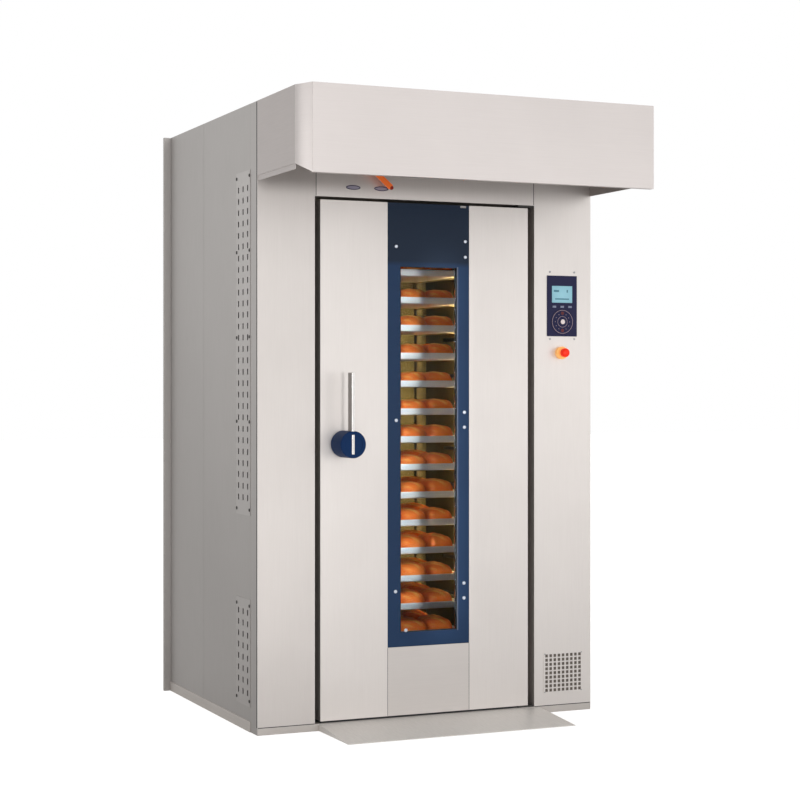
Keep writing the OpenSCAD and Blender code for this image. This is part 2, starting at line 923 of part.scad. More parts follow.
module rack_gearmotor() {
    top = pinion_z - 4;
    color([0.2, 0.35, 0.55])
        standing()
            union() {
                block([mid_x - 55, pinion_d - 75, deck_z], [mid_x + 70, pinion_d + 42, top]);
                upright(mid_x, pinion_d, top, pinion_z + gear_t + lift_travel + 8, 11);
                translate([mid_x + 70, pinion_d - 20, deck_z + 70])
                    rotate([0, 90, 0]) cylinder(h = 12, r = 60);
                translate([mid_x + 82, pinion_d - 20, deck_z + 70])
                    rotate([0, 90, 0]) cylinder(h = 190, r = 54);
                translate([mid_x + 272, pinion_d - 20, deck_z + 70])
                    rotate([0, 90, 0]) cylinder(h = 30, r = 58);
                block([mid_x + 55, pinion_d - 80, deck_z], [mid_x + 70, pinion_d + 25, deck_z + 110]);
                block([mid_x + 120, pinion_d - 50, deck_z], [mid_x + 240, pinion_d + 10, deck_z + 30]);
                block([mid_x + 130, pinion_d - 60, deck_z + 110], [mid_x + 220, pinion_d + 20, deck_z + 145]);
            }
}

// guide rods, bearing and actuator body that stand on the deck
module hoist_frame() {
    rod_d = rack_d + actuator_back;
    color([0.5, 0.52, 0.54])
        standing()
            difference() {
                union() {
                    block(
                        [mid_x - guide_x - 35, rack_d - 35, deck_z],
                        [mid_x + guide_x + 35, rack_d + 35, deck_z + 8]
                    );
                    block([mid_x - 35, rack_d, deck_z], [mid_x + 35, rod_d + 35, deck_z + 8]);
                    upright(mid_x, rack_d, deck_z, gear_z - lift_travel - 4, 34);
                    for (side = [-1, 1])
                        upright(mid_x + side * guide_x, rack_d, deck_z, bridge_z, guide_r);
                    block(
                        [mid_x - guide_x - 20, rack_d - 20, bridge_z],
                        [mid_x + guide_x + 20, rack_d + 20, bridge_z + 12]
                    );
                    upright(mid_x, rod_d, deck_z, crosshead_z - 30, actuator_r);
                }
                upright(mid_x, rack_d, deck_z - 1, deck_z + 60, shaft_r + running);
                upright(mid_x, rack_d, bridge_z - 1, bridge_z + 13, shaft_r + 10);
                upright(mid_x, rod_d, deck_z + 20, crosshead_z, rod_r + running);
            }
}

module hoist_crosshead() {
    rod_d = rack_d + actuator_back;
    color([0.55, 0.55, 0.3])
        standing()
            difference() {
                union() {
                    block(
                        [mid_x - guide_x - 22, rack_d - crosshead_w / 2, crosshead_z],
                        [mid_x + guide_x + 22, rack_d + crosshead_w / 2, crosshead_z + crosshead_t]
                    );
                    block(
                        [mid_x - 22, rack_d, crosshead_z],
                        [mid_x + 22, rod_d + 22, crosshead_z + crosshead_t]
                    );
                    upright(mid_x, rod_d, deck_z + 40, crosshead_z, rod_r);
                }
                upright(mid_x, rack_d, crosshead_z - 1, crosshead_z + crosshead_t + 1, shaft_r + running);
                for (side = [-1, 1])
                    upright(
                        mid_x + side * guide_x, rack_d,
                        crosshead_z - 1, crosshead_z + crosshead_t + 1, guide_r + running
                    );
            }
}

module rack_spindle() {
    hook_w = 90;
    hook_z = head_z - 9;
    hook_top = head_z + 21;
    color([0.6, 0.6, 0.62])
        standing()
            difference() {
                union() {
                    upright(mid_x, rack_d, hook_top, gear_z, shaft_r);
                    upright(mid_x, rack_d, gear_z, crosshead_z + crosshead_t + clear + 14, shaft_r);
                    upright(
                        mid_x, rack_d, crosshead_z + crosshead_t + clear,
                        crosshead_z + crosshead_t + clear + 14, collar_r
                    );
                    block(
                        [mid_x - hook_w / 2, rack_d - 45, hook_z],
                        [mid_x + hook_w / 2, rack_d + 45, hook_top]
                    );
                }
                // slot for the rack's head, open to the front
                block(
                    [mid_x - 37, rack_d - 46, head_z],
                    [mid_x + 37, rack_d + 37, head_z + head_t + clear]
                );
                block([mid_x - 14, rack_d - 46, hook_z - 1], [mid_x + 14, rack_d + 14, head_z]);
            }
}

module spindle_gear() {
    color([0.7, 0.62, 0.35])
        standing()
            translate([mid_x, rack_d, gear_z])
                difference() {
                    union() {
                        linear_extrude(gear_t)
                            rotate(-90) gear_outline(gear_module, gear_teeth, 0.6);
                        translate([0, 0, gear_t]) cylinder(h = 12, r = 28);
                    }
                    translate([0, 0, -1]) cylinder(h = gear_t + 20, r = shaft_r);
                    for (angle = [0 : 60 : 300])
                        rotate(angle) translate([gear_r * 0.62, 0, -1]) cylinder(h = gear_t + 2, r = 16);
                }
}

module drive_pinion() {
    color([0.7, 0.62, 0.35])
        standing()
            translate([mid_x, pinion_d, pinion_z])
                difference() {
                    linear_extrude(gear_t + lift_travel + 8)
                        rotate(90 + 180 / pinion_teeth) gear_outline(gear_module, pinion_teeth, 0.6);
                    translate([0, 0, -1]) cylinder(h = gear_t + lift_travel + 10, r = 11 + running);
                }
}

// fan and damper

module circulation_fan() {
    color([0.6, 0.6, 0.62])
        standing()
            union() {
                upright(fan_x, fan_d, fan_z + fan_h - 3, fan_z + fan_h, fan_r, 64);
                upright(fan_x, fan_d, fan_z + 30, fan_z + fan_h, 30);
                upright(fan_x, fan_d, fan_z + 40, deck_z + 50, fan_shaft_r);
                for (k = [0 : fan_blades - 1])
                    translate([fan_x, fan_d, fan_z])
                        rotate(k * 360 / fan_blades)
                            translate([fan_r - 8, 0, 0])
                                rotate(50)
                                    translate([-50, -1.5, 0])
                                        cube([54, 3, fan_h - 2]);
                difference() {
                    upright(fan_x, fan_d, fan_z - 2, fan_z + 1, fan_r, 64);
                    upright(fan_x, fan_d, fan_z - 3, fan_z + 2, fan_r * 0.7, 64);
                }
            }
}

module damper_flap() {
    color([0.6, 0.6, 0.6])
        standing() {
            level(damper_x, flap_z, -30, damper_end, damper_shaft_r, 32);
            translate([damper_x, flue_d, flap_z])
                rotate([0, -8, 0])
                    cylinder(h = 3, r = flue_r - flue_wall - 1.5, center = true, $fn = 64);
        }
}

// flat lever that turns the flap; its grip end is tapered
module damper_lever_arm() {
    color([0.98, 0.45, 0.15])
        standing()
            translate([damper_x, -30, flap_z])
                rotate([90, 0, 0])
                    rotate(-damper_angle)
                        difference() {
                            union() {
                                cylinder(h = 8, r = 14);
                                linear_extrude(8)
                                    polygon([
                                        [0, 9], [damper_lever - 12, 11], [damper_lever, 5],
                                        [damper_lever, -5], [damper_lever - 12, -11], [0, -9]
                                    ]);
                                translate([0, 0, -8]) cylinder(h = 8, r = 12);
                            }
                            translate([0, 0, -9]) cylinder(h = 9, r = damper_shaft_r);
                        }
}

// controls

module electrical_box() {
    front = 70;
    back = shaft_d;
    top = electrical_z + electrical_h;
    wall = 3;
    color([0.75, 0.75, 0.72])
        standing()
            difference() {
                block([leg_x1 + 8, front, electrical_z], [body_w - 12, back, top]);
                block(
                    [leg_x1 + 8 + wall, front + wall, electrical_z + wall],
                    [body_w - 12 - wall, back - wall, top - wall]
                );
            }
}

module control_panel() {
    color([0.13, 0.14, 0.28])
        standing()
            difference() {
                union() {
                    block([panel_x0, -panel_out, panel_z], [panel_x0 + panel_w, 0, panel_z + panel_h]);
                    block(
                        [panel_x0 + 8.5, 0, panel_z + 8.5],
                        [panel_x0 + panel_w - 8.5, 36, panel_z + panel_h - 8.5]
                    );
                }
                // recess for the screen
                block(
                    [panel_x0 + screen_in, -panel_out - 1, screen_z],
                    [panel_x0 + panel_w - screen_in, 1 - panel_out, screen_z + screen_h]
                );
                // holes for the keys
                for (k = [-1, 0, 1])
                    block(
                        [
                            panel_mid + k * key_pitch - key_w / 2 - clear,
                            -panel_out - 1, key_z - key_h / 2 - clear
                        ],
                        [panel_mid + k * key_pitch + key_w / 2 + clear, 2, key_z + key_h / 2 + clear]
                    );
                // bearing of the dial
                level(panel_mid, dial_z, -panel_out - 1, 20, 4 + running);
            }
}

module control_key(k) {
    color([0.7, 0.72, 0.78])
        standing()
            block(
                [panel_mid + k * key_pitch - key_w / 2, -panel_out - key_travel - 1, key_z - key_h / 2],
                [panel_mid + k * key_pitch + key_w / 2, 1 - key_travel - clear, key_z + key_h / 2]
            );
}

module control_key_1() { control_key(-1); }

module control_key_2() { control_key(0); }

module control_key_3() { control_key(1); }

module control_dial() {
    color([0.13, 0.14, 0.28])
        standing() {
            difference() {
                level(panel_mid, dial_z, dial_face, -panel_out - clear, dial_r, 64);
                for (k = [0 : 11])
                    translate([panel_mid, dial_face + 1, dial_z])
                        rotate([0, k * 30 + 15, 0])
                            translate([dial_r - 9, 0, 0])
                                rotate([90, 0, 0]) cylinder(h = 5, r = 4.5, $fn = 24);
            }
            level(panel_mid, dial_z, dial_face - 3, dial_face, 11, 32);
            level(panel_mid, dial_z, -panel_out - clear, 18, 4, 32);
        }
}

module stop_collar() {
    color([1, 0.62, 0.25])
        standing()
            difference() {
                union() {
                    level(stop_x, stop_z, -stop_out, 0, stop_r + 7);
                    level(stop_x, stop_z, 0, 40, 11);
                }
                level(stop_x, stop_z, -stop_out - 1, 41, 6 + running, 32);
            }
}

module stop_button() {
    color([0.92, 0.16, 0.08])
        standing() {
            level(stop_x, stop_z, -stop_out - 1 - stop_travel, 30, 6, 32);
            translate([stop_x, -stop_out - stop_travel - 1, stop_z])
                rotate([90, 0, 0])
                    rotate_extrude($fn = 48)
                        polygon(concat(
                            [[0, 0], [stop_r - 4, 0], [stop_r, 4], [stop_r, 16]],
                            [for (a = [15 : 15 : 75]) [stop_r * cos(a), 16 + 10 * sin(a)]],
                            [[0, 26]]
                        ));
        }
}

module vent_grille() {
    nx = floor((grille_w - 8) / grille_pitch);
    nz = floor((grille_h - 8) / grille_rise);
    color([0.6, 0.6, 0.58])
        standing()
            difference() {
                block([grille_x0, -1.5, grille_z], [grille_x0 + grille_w, 0, grille_z + grille_h]);
                for (i = [0 : nx - 1])
                    for (j = [0 : nz - 1])
                        translate([
                            grille_x0 + grille_w / 2 + (i - (nx - 1) / 2) * grille_pitch - grille_hole / 2,
                            -2,
                            grille_z + grille_h / 2 + (j - (nz - 1) / 2) * grille_rise - grille_hole / 2
                        ])
                            cube([grille_hole, 3, grille_hole]);
            }
}

// door

// brackets on the sill and under the header, each with its pivot pin
module door_pivots() {
    top_plate = lintel_z - 8;
    color([0.5, 0.5, 0.52])
        standing() {
            block([pivot_x - 25, 2, floor_h], [doorway_x1, 60, floor_h + hinge_plate_t]);
            upright(pivot_x, pivot_back, floor_h + hinge_plate_t, door_z + pivot_len - 2, pivot_r);
            block([pivot_x - 25, 2, top_plate], [doorway_x1, 60, lintel_z]);
            upright(pivot_x, pivot_back, door_top - pivot_len + 2, top_plate, pivot_r);
        }
}

module pivot_holes(r) {
    upright(pivot_x, pivot_back, door_z - 1, door_z + pivot_len, r);
    upright(pivot_x, pivot_back, door_top - pivot_len, door_top + 1, r);
}

module hinge_blocks() {
    half = hinge_block / 2;
    color([0.5, 0.5, 0.52])
        standing()
            difference() {
                for (z = [door_z + sheet, door_top - sheet - hinge_block[2]])
                    block(
                        [pivot_x - half[0], sheet, z],
                        [pivot_x + min(half[0], pivot_in - sheet), pivot_back + half[1], z + hinge_block[2]]
                    );
                pivot_holes(pivot_r + running);
            }
}

module door_skins() {
    color(steel)
        standing()
            difference() {
                union() {
                    for (panel = [
                        [door_x0, middle_x0 - 0.4, door_x0],
                        [middle_x1 + 0.4, door_x1, door_x1 - sheet]
                    ]) {
                        block([panel[0], 0, door_z], [panel[1], sheet, door_top]);
                        block([panel[2], sheet, door_z], [panel[2] + sheet, door_inner, door_top]);
                        for (z = [door_z, door_top - sheet])
                            block([panel[0], sheet, z], [panel[1], door_inner, z + sheet]);
                    }
                    block([middle_x0, 0, door_z], [middle_x1, sheet, frame_z - 0.4]);
                    block([middle_x0, sheet, door_z], [middle_x1, door_inner, door_z + sheet]);
                }
                pivot_holes(pivot_r + through);
                level(handle_x, handle_z, -1, sheet + 1, spindle_r + running);
                block(
                    [door_x0 - 1, latch_d0 - clear, latch_bar_z - clear],
                    [door_x0 + sheet + 1, latch_d0 + latch_t + clear, latch_root_z + clear]
                );
            }
}

module window_frame() {
    color(blue)
        standing()
            difference() {
                union() {
                    block([middle_x0, 0, frame_z], [middle_x1, sheet, door_top]);
                    block([middle_x0, sheet, door_top - sheet], [middle_x1, door_inner, door_top]);
                }
                block(
                    [window_mid - window_w / 2, -1, window_z],
                    [window_mid + window_w / 2, sheet + 1, window_head]
                );
            }
}

module window_panes() {
    color([0.6, 0.75, 0.8, 0.3])
        standing() {
            block(
                [tunnel_x0 + sheet, sheet, window_z - tunnel_over + sheet],
                [tunnel_x1 - sheet, sheet + glass_t, window_head + tunnel_over - sheet]
            );
            block(
                [tunnel_x0 + sheet, inner_pane_d, window_z - tunnel_over + sheet],
                [tunnel_x1 - sheet, inner_pane_d + glass_t, window_head + tunnel_over - sheet]
            );
        }
}

// inner skin of the door, with the tunnel that holds the window's panes
module door_inner_pan() {
    z0 = window_z - tunnel_over;
    z1 = window_head + tunnel_over;
    color([0.6, 0.6, 0.6])
        standing()
            difference() {
                union() {
                    block([door_x0, door_inner, door_z], [door_x1, door_t, door_top]);
                    block([tunnel_x0, sheet, z0], [tunnel_x1, door_inner, z1]);
                }
                block(
                    [tunnel_x0 + sheet, sheet - 1, z0 + sheet],
                    [tunnel_x1 - sheet, inner_pane_d + glass_t, z1 - sheet]
                );
                block(
                    [tunnel_x0 + pane_lip, sheet, z0 + pane_lip],
                    [tunnel_x1 - pane_lip, door_t + 1, z1 - pane_lip]
                );
                level(handle_x, handle_z, door_inner - 1, door_t + 1, spindle_r + running);
            }
}

module door_insulation() {
    z0 = window_z - tunnel_over;
    z1 = window_head + tunnel_over;
    color([0.75, 0.7, 0.5])
        standing()
            difference() {
                block(
                    [door_x0 + sheet, sheet, door_z + sheet],
                    [door_x1 - sheet, door_inner, door_top - sheet]
                );
                block([tunnel_x0, 0, z0], [tunnel_x1, door_t, z1]);
                block([case_x0 - 6, case_d0, case_z0], [case_x1, case_d1, case_z1]);
                level(handle_x, handle_z, 0, door_t, spindle_r + through);
                for (z = [door_z, door_top - sheet - hinge_block[2]])
                    block(
                        [pivot_x - hinge_block[0] / 2, 0, z],
                        [door_x1, pivot_back + hinge_block[1] / 2, z + hinge_block[2] + sheet]
                    );
            }
}

module door_seal() {
    color([0.12, 0.12, 0.12])
        standing()
            difference() {
                block([seal_x0, door_t, seal_z], [seal_x1, jamb_d, seal_top]);
                block(
                    [seal_x0 + seal_w, door_t - 1, seal_z + seal_w],
                    [seal_x1 - seal_w, jamb_d + 1, seal_top - seal_w]
                );
            }
}

// handle and latch

module handle_boss() {
    color(blue)
        standing()
            difference() {
                level(handle_x, handle_z, -handle_out, -clear, boss_r, 96);
                // slot for the lever
                block(
                    [handle_x - lever_w / 2, -handle_out - 1, handle_z - lever_down],
                    [handle_x + lever_w / 2, lever_d - handle_out, handle_z + boss_r + 1]
                );
                level(handle_x, handle_z, lever_d - handle_out, 1, spindle_r);
            }
}

module handle_lever() {
    color([0.88, 0.88, 0.88])
        standing()
            block(
                [handle_x - lever_w / 2, -handle_out, handle_z - lever_down],
                [handle_x + lever_w / 2, lever_d - handle_out, handle_z + lever_up]
            );
}

// spindle through the door, with the latch's pinion and the inner release knob
module latch_spindle() {
    color([0.6, 0.6, 0.62])
        standing() {
            level(handle_x, handle_z, lever_d - handle_out, door_t + 20, spindle_r);
            translate([handle_x, latch_d0 + latch_t, handle_z])
                rotate([90, 0, 0])
                    linear_extrude(latch_t)
                        rotate(-90) gear_outline(latch_module, latch_teeth, 0.8);
            level(handle_x, handle_z, door_t + 4, door_t + 34, 24);
        }
}

module latch_bolt() {
    step = PI * latch_module;
    tip = 0.8 * latch_module;
    root = 1.1 * latch_module;
    half = step / 4 - 0.4;
    color([0.7, 0.7, 0.7])
        standing() {
            block(
                [bolt_x0, latch_d0, latch_bar_z],
                [case_x1 - case_wall - 2, latch_d0 + latch_t, latch_root_z]
            );
            // teeth that the pinion drives, half a pitch off the axis at rest
            for (k = [-2 : 4])
                translate([handle_x + (k + 0.5) * step, latch_d0 + latch_t, latch_rack_z])
                    rotate([90, 0, 0])
                        linear_extrude(latch_t)
                            polygon([
                                [-half - root * tan(20), -root - 0.01], [half + root * tan(20), -root - 0.01],
                                [half - tip * tan(20), tip], [-half + tip * tan(20), tip]
                            ]);
        }
}

module latch_case() {
    color([0.5, 0.5, 0.5])
        standing()
            difference() {
                block([case_x0, case_d0, case_z0], [case_x1, case_d1, case_z1]);
                block(
                    [case_x0 + case_wall, case_d0 + case_wall, case_z0 + case_wall],
                    [case_x1 - case_wall, case_d1 - case_wall, case_z1 - case_wall]
                );
                block(
                    [case_x0 - 1, latch_d0 - clear, latch_bar_z - clear],
                    [case_x0 + case_wall + 1, latch_d0 + latch_t + clear, latch_root_z + clear]
                );
                level(handle_x, handle_z, case_d0 - 1, case_d1 + 1, spindle_r + running);
            }
}

// rack

module at_rack() {
    standing() translate([mid_x, rack_d, 0]) children();
}

function tray_bottom(k) = tray_z + k * tray_pitch;

module rack_frame() {
    hx = rack_w / 2;
    hy = rack_depth / 2;
    p = post_size;
    color([0.68, 0.68, 0.68])
        at_rack()
            difference() {
                union() {
                    for (sx = [0, 1])
                        for (sy = [0, 1])
                            mirror([sx, 0, 0])
                                mirror([0, sy, 0]) {
                                    block(
                                        [hx - p, hy - p, base_ring_z],
                                        [hx, hy - p + post_wall, rack_top]
                                    );
                                    block(
                                        [hx - p, hy - p, base_ring_z],
                                        [hx - p + post_wall, hy, rack_top]
                                    );
                                }
                    // base ring
                    difference() {
                        block([-hx, -hy, base_ring_z], [hx, hy, base_ring_z + base_ring_h]);
                        block(
                            [-hx + 30, -hy + 30, base_ring_z - 1],
                            [hx - 30, hy - 30, base_ring_z + base_ring_h + 1]
                        );
                    }
                    // top ring
                    difference() {
                        block([-hx, -hy, rack_top - 20], [hx, hy, rack_top]);
                        block([-hx + p, -hy + p, rack_top - 21], [hx - p, hy - p, rack_top + 1]);
                    }
                    // beam and head that hang in the hook
                    block([-hx, -15, rack_top - 20], [hx, 15, rack_top]);
                    translate([0, 0, rack_top]) cylinder(h = head_z - rack_top, r = 12);
                    translate([0, 0, head_z]) cylinder(h = head_t, r = 35);
                    // corner plates over the castors
                    for (sx = [-1, 1])
                        for (sy = [-1, 1])
                            translate([sx * castor_x - 45, sy * castor_y - 45, base_ring_z])
                                cube([90, 90, 8]);
                    for (sx = [-1, 1])
                        rear_castor_fork(sx * castor_x, castor_y);
                }
                for (sx = [-1, 1])
                    translate([sx * castor_x, -castor_y, base_ring_z - 1])
                        cylinder(h = 20, r = stem_r + running);
                for (sx = [-1, 1])
                    translate([sx * castor_x - 30, castor_y, wheel_z])
                        rotate([0, 90, 0]) cylinder(h = 60, r = 5 + running, $fn = 32);
            }
}

// cheeks of a castor fork, about a vertical line; the wheel's axle is at [0, y]
module fork_cheeks(y, top) {
    for (side = [-1, 1])
        translate([side * (wheel_w / 2 + 4) - 2, 0, 0])
            union() {
                translate([0, y - 14, wheel_z]) cube([4, 28, top - wheel_z]);
                translate([0, min(y - 14, -14), top - 12]) cube([4, abs(y) + 28, 12]);
                translate([0, y, wheel_z]) rotate([0, 90, 0]) cylinder(h = 4, r = 14);
            }
}

module rear_castor_fork(x, y) {
    translate([x, y, 0]) {
        fork_cheeks(0, base_ring_z);
        translate([-wheel_w / 2 - 6, -20, base_ring_z - 4]) cube([wheel_w + 12, 40, 5]);
    }
}

module castor_fork(side) {
    color([0.6, 0.6, 0.62])
        at_rack()
            translate([side * castor_x, -castor_y, 0])
                difference() {
                    union() {
                        translate([0, 0, base_ring_z - 10]) cylinder(h = 10 - clear, r = 26);
                        translate([0, 0, base_ring_z - 10]) cylinder(h = 20, r = stem_r);
                        fork_cheeks(castor_trail, base_ring_z - 10);
                        translate([-wheel_w / 2 - 6, -14, base_ring_z - 14])
                            cube([wheel_w + 12, castor_trail + 28, 5]);
                    }
                    translate([-30, castor_trail, wheel_z])
                        rotate([0, 90, 0]) cylinder(h = 60, r = 5 + running, $fn = 32);
                }
}

module castor_fork_left() { castor_fork(-1); }

module castor_fork_right() { castor_fork(1); }

module castor_wheel(x, y) {
    color([0.2, 0.2, 0.21])
        at_rack()
            translate([x, y, wheel_z])
                rotate([0, 90, 0]) {
                    cylinder(h = wheel_w, r = wheel_r, center = true, $fn = 64);
                    cylinder(h = wheel_w + 2, r = 12, center = true);
                    cylinder(h = wheel_w + 16, r = 5, center = true, $fn = 32);
                }
}

module castor_wheel_front_left() { castor_wheel(-castor_x, -castor_y + castor_trail); }

module castor_wheel_front_right() { castor_wheel(castor_x, -castor_y + castor_trail); }

module castor_wheel_rear_left() { castor_wheel(-castor_x, castor_y); }

module castor_wheel_rear_right() { castor_wheel(castor_x, castor_y); }

module tray_runners() {
    leg = tray_w / 2 + tray_side_gap;
    d = rack_depth / 2 - post_size;
    color([0.68, 0.68, 0.68])
        at_rack()
            for (k = [0 : min(tray_count, tray_places) - 1])
                for (side = [0, 1])
                    mirror([side, 0, 0]) {
                        block(
                            [leg + runner_t - runner_w, -d, tray_bottom(k) - runner_t],
                            [leg + runner_t, d, tray_bottom(k)]
                        );
                        block(
                            [leg, -d, tray_bottom(k) - runner_t],
                            [leg + runner_t, d, tray_bottom(k) + 18]
                        );
                    }
}

module baking_trays() {
    color([0.8, 0.8, 0.8])
        at_rack()
            for (k = [0 : min(tray_count, tray_places) - 1])
                difference() {
                    block(
                        [-tray_w / 2, -tray_d / 2, tray_bottom(k)],
                        [tray_w / 2, tray_d / 2, tray_bottom(k) + tray_h]
                    );
                    block(
                        [-tray_w / 2 + tray_t, -tray_d / 2 + tray_t, tray_bottom(k) + tray_t],
                        [tray_w / 2 - tray_t, tray_d / 2 - tray_t, tray_bottom(k) + tray_h + 1]
                    );
                }
}

base_frame();
chamber_floor();
entry_ramp();
side_panels();
side_vent_plates();
rear_panel();
roof_deck();
left_column();
right_column();
header_panel();
hood_fascia();
hood_canopy();
seal_frame();
chamber_walls();
wall_cassettes();
roof_cassette();
steam_cascade();
heating_elements();
fan_motor();
flue_pipe();
rack_gearmotor();
hoist_frame();
electrical_box();
control_panel();
stop_collar();
vent_grille();
door_pivots();
door_skins();
window_frame();
window_panes();
door_inner_pan();
door_insulation();
door_seal();
hinge_blocks();
latch_case();
handle_boss();
handle_lever();
latch_spindle();
latch_bolt();
control_key_1();
control_key_2();
control_key_3();
control_dial();
stop_button();
damper_lever_arm();
damper_flap();
circulation_fan();
hoist_crosshead();
rack_spindle();
spindle_gear();
rack_frame();
tray_runners();
baking_trays();
drive_pinion();
castor_fork_left();
castor_fork_right();
castor_wheel_front_left();
castor_wheel_front_right();
castor_wheel_rear_left();
castor_wheel_rear_right();
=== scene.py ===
import bpy, bmesh
import json, math, random
from mathutils import Matrix, Vector


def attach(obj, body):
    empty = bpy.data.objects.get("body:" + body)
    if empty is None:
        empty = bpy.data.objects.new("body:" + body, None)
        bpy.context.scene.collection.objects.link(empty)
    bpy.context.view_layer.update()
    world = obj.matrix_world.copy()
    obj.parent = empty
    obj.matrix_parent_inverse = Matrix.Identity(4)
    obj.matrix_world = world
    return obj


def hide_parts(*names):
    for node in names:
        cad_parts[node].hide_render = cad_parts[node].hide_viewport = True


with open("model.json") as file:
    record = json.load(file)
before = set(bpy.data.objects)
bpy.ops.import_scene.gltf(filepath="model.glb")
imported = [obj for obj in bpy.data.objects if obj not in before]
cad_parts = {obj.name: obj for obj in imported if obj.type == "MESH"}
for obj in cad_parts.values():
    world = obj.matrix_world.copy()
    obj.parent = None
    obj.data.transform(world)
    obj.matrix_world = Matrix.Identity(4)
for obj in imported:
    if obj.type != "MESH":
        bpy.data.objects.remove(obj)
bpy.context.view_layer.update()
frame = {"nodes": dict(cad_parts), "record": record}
print("frame loaded:", len(frame["nodes"]), "nodes")


def place(x, d, z):
    # oven millimetres (from the left, the door's face and the floor) to metres in the frame
    return Vector(((x - 720) / 1000, (d - 330) / 1000, z / 1000))


def letGo():
    if bpy.context.object and bpy.context.object.mode != "OBJECT":
        bpy.ops.object.mode_set(mode="OBJECT")
    bpy.ops.object.select_all(action="DESELECT")


def take(piece):
    letGo()
    piece.select_set(True)
    bpy.context.view_layer.objects.active = piece


def settle(piece):
    # puts the piece's place into its mesh
    take(piece)
    bpy.ops.object.transform_apply(location=True, rotation=True, scale=True)
    return piece


def applyOne(piece, kind, **settings):
    modifier = piece.modifiers.new("shape", kind)
    for name, value in settings.items():
        setattr(modifier, name, value)
    take(piece)
    bpy.ops.object.modifier_apply(modifier=modifier.name)


def rounded(piece, width, segments=2, angle=40):
    applyOne(piece, "BEVEL", width=width / 1000, segments=segments, limit_method="ANGLE",
             angle_limit=math.radians(angle), use_clamp_overlap=True)


def smoothed(piece, angle=32):
    # smooth over the small rounds, with the big faces keeping their own direction
    take(piece)
    bpy.ops.object.shade_smooth_by_angle(angle=math.radians(angle))
    applyOne(piece, "WEIGHTED_NORMAL", mode="FACE_AREA", weight=100, keep_sharp=True)


def edit(piece):
    take(piece)
    bpy.ops.object.mode_set(mode="EDIT")
    bpy.ops.mesh.select_mode(type="FACE")
    bpy.ops.mesh.select_all(action="DESELECT")


def pick(piece, test):
    # in edit mode, selects the faces that pass a test on their middle and direction
    mesh = bmesh.from_edit_mesh(piece.data)
    for item in [*mesh.verts, *mesh.edges, *mesh.faces]:
        item.select_set(False)
    for face in mesh.faces:
        face.select_set(test(face.calc_center_median(), face.normal))
    bmesh.update_edit_mesh(piece.data)


def insetMore(*steps):
    # insets the picked faces step by step, each step a width and a rise in millimetres
    for width, rise in steps:
        bpy.ops.mesh.inset(thickness=width / 1000, depth=rise / 1000)


def leave():
    bpy.ops.object.mode_set(mode="OBJECT")


def boxPiece(name, low, high):
    # a box between two corners given in oven millimetres
    a, b = place(*low), place(*high)
    letGo()
    bpy.ops.mesh.primitive_cube_add(size=1, location=(a + b) / 2, scale=b - a)
    piece = bpy.context.object
    piece.name = name
    return settle(piece)


def discPiece(name, at, radius, depth, vertices=32, facing="front"):
    # a cylinder whose middle is at a point given in oven millimetres
    turns = {"front": (math.pi / 2, 0, 0), "up": (0, 0, 0), "side": (0, math.pi / 2, 0)}
    letGo()
    bpy.ops.mesh.primitive_cylinder_add(vertices=vertices, radius=radius / 1000, depth=depth / 1000,
                                        location=place(*at), rotation=turns[facing])
    piece = bpy.context.object
    piece.name = name
    return settle(piece)


def copied(piece, name, shift):
    # its own mesh, moved by millimetres
    other = piece.copy()
    other.data = piece.data.copy()
    other.name = name
    bpy.context.collection.objects.link(other)
    other.data.transform(Matrix.Translation(Vector(shift) / 1000))
    return other


def joined(pieces, name):
    # one piece of several, under a new name
    letGo()
    for piece in pieces:
        piece.select_set(True)
    bpy.context.view_layer.objects.active = pieces[0]
    if len(pieces) > 1:
        bpy.ops.object.join()
    pieces[0].name = name
    return pieces[0]


def repeated(piece, name, shifts):
    # the piece and its copies further on, as one
    return joined([piece] + [copied(piece, name, shift) for shift in shifts], name)


def outward(piece):
    # closes the seams and turns all faces outwards
    edit(piece)
    bpy.ops.mesh.select_all(action="SELECT")
    bpy.ops.mesh.remove_doubles(threshold=0.00001)
    bpy.ops.mesh.normals_make_consistent(inside=False)
    leave()


def dressed(piece, finish, body):
    # finish, moving body and material slot of a piece
    piece.data.materials.clear()
    piece.data.materials.append(finish)
    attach(piece, body)
    return piece


cameraSettings = {
    "place": (-3.00866, -6.87494, 1.31771), "turn": (90, 0, -23.741),
    "lens": 82.37, "sensor": 36, "shiftUp": -0.01606, "shiftRight": -0.00044,
}
bpy.ops.object.camera_add(location=cameraSettings["place"],
                          rotation=[math.radians(a) for a in cameraSettings["turn"]])
camera = bpy.context.object
camera.data.lens = cameraSettings["lens"]
camera.data.sensor_width = cameraSettings["sensor"]
camera.data.shift_x = cameraSettings["shiftRight"]
camera.data.shift_y = cameraSettings["shiftUp"]
bpy.context.scene.camera = camera
bpy.context.scene.view_settings.view_transform = "Standard"


def linear(hexColour):
    # sRGB hex to the linear values that Blender mixes
    channels = []
    for i in (0, 2, 4):
        c = int(hexColour[i:i + 2], 16) / 255
        channels.append(c / 12.92 if c <= 0.04045 else ((c + 0.055) / 1.055) ** 2.4)
    return (*channels, 1)


def addNode(tree, kind, settings=None, links=None):
    node = tree.nodes.new("ShaderNode" + kind)
    for key, value in (settings or {}).items():
        if isinstance(key, int) or key in node.inputs:
            node.inputs[key].default_value = value
        else:
            setattr(node, key, value)
    for key, source in (links or {}).items():
        tree.links.new(source, node.inputs[key])
    return node


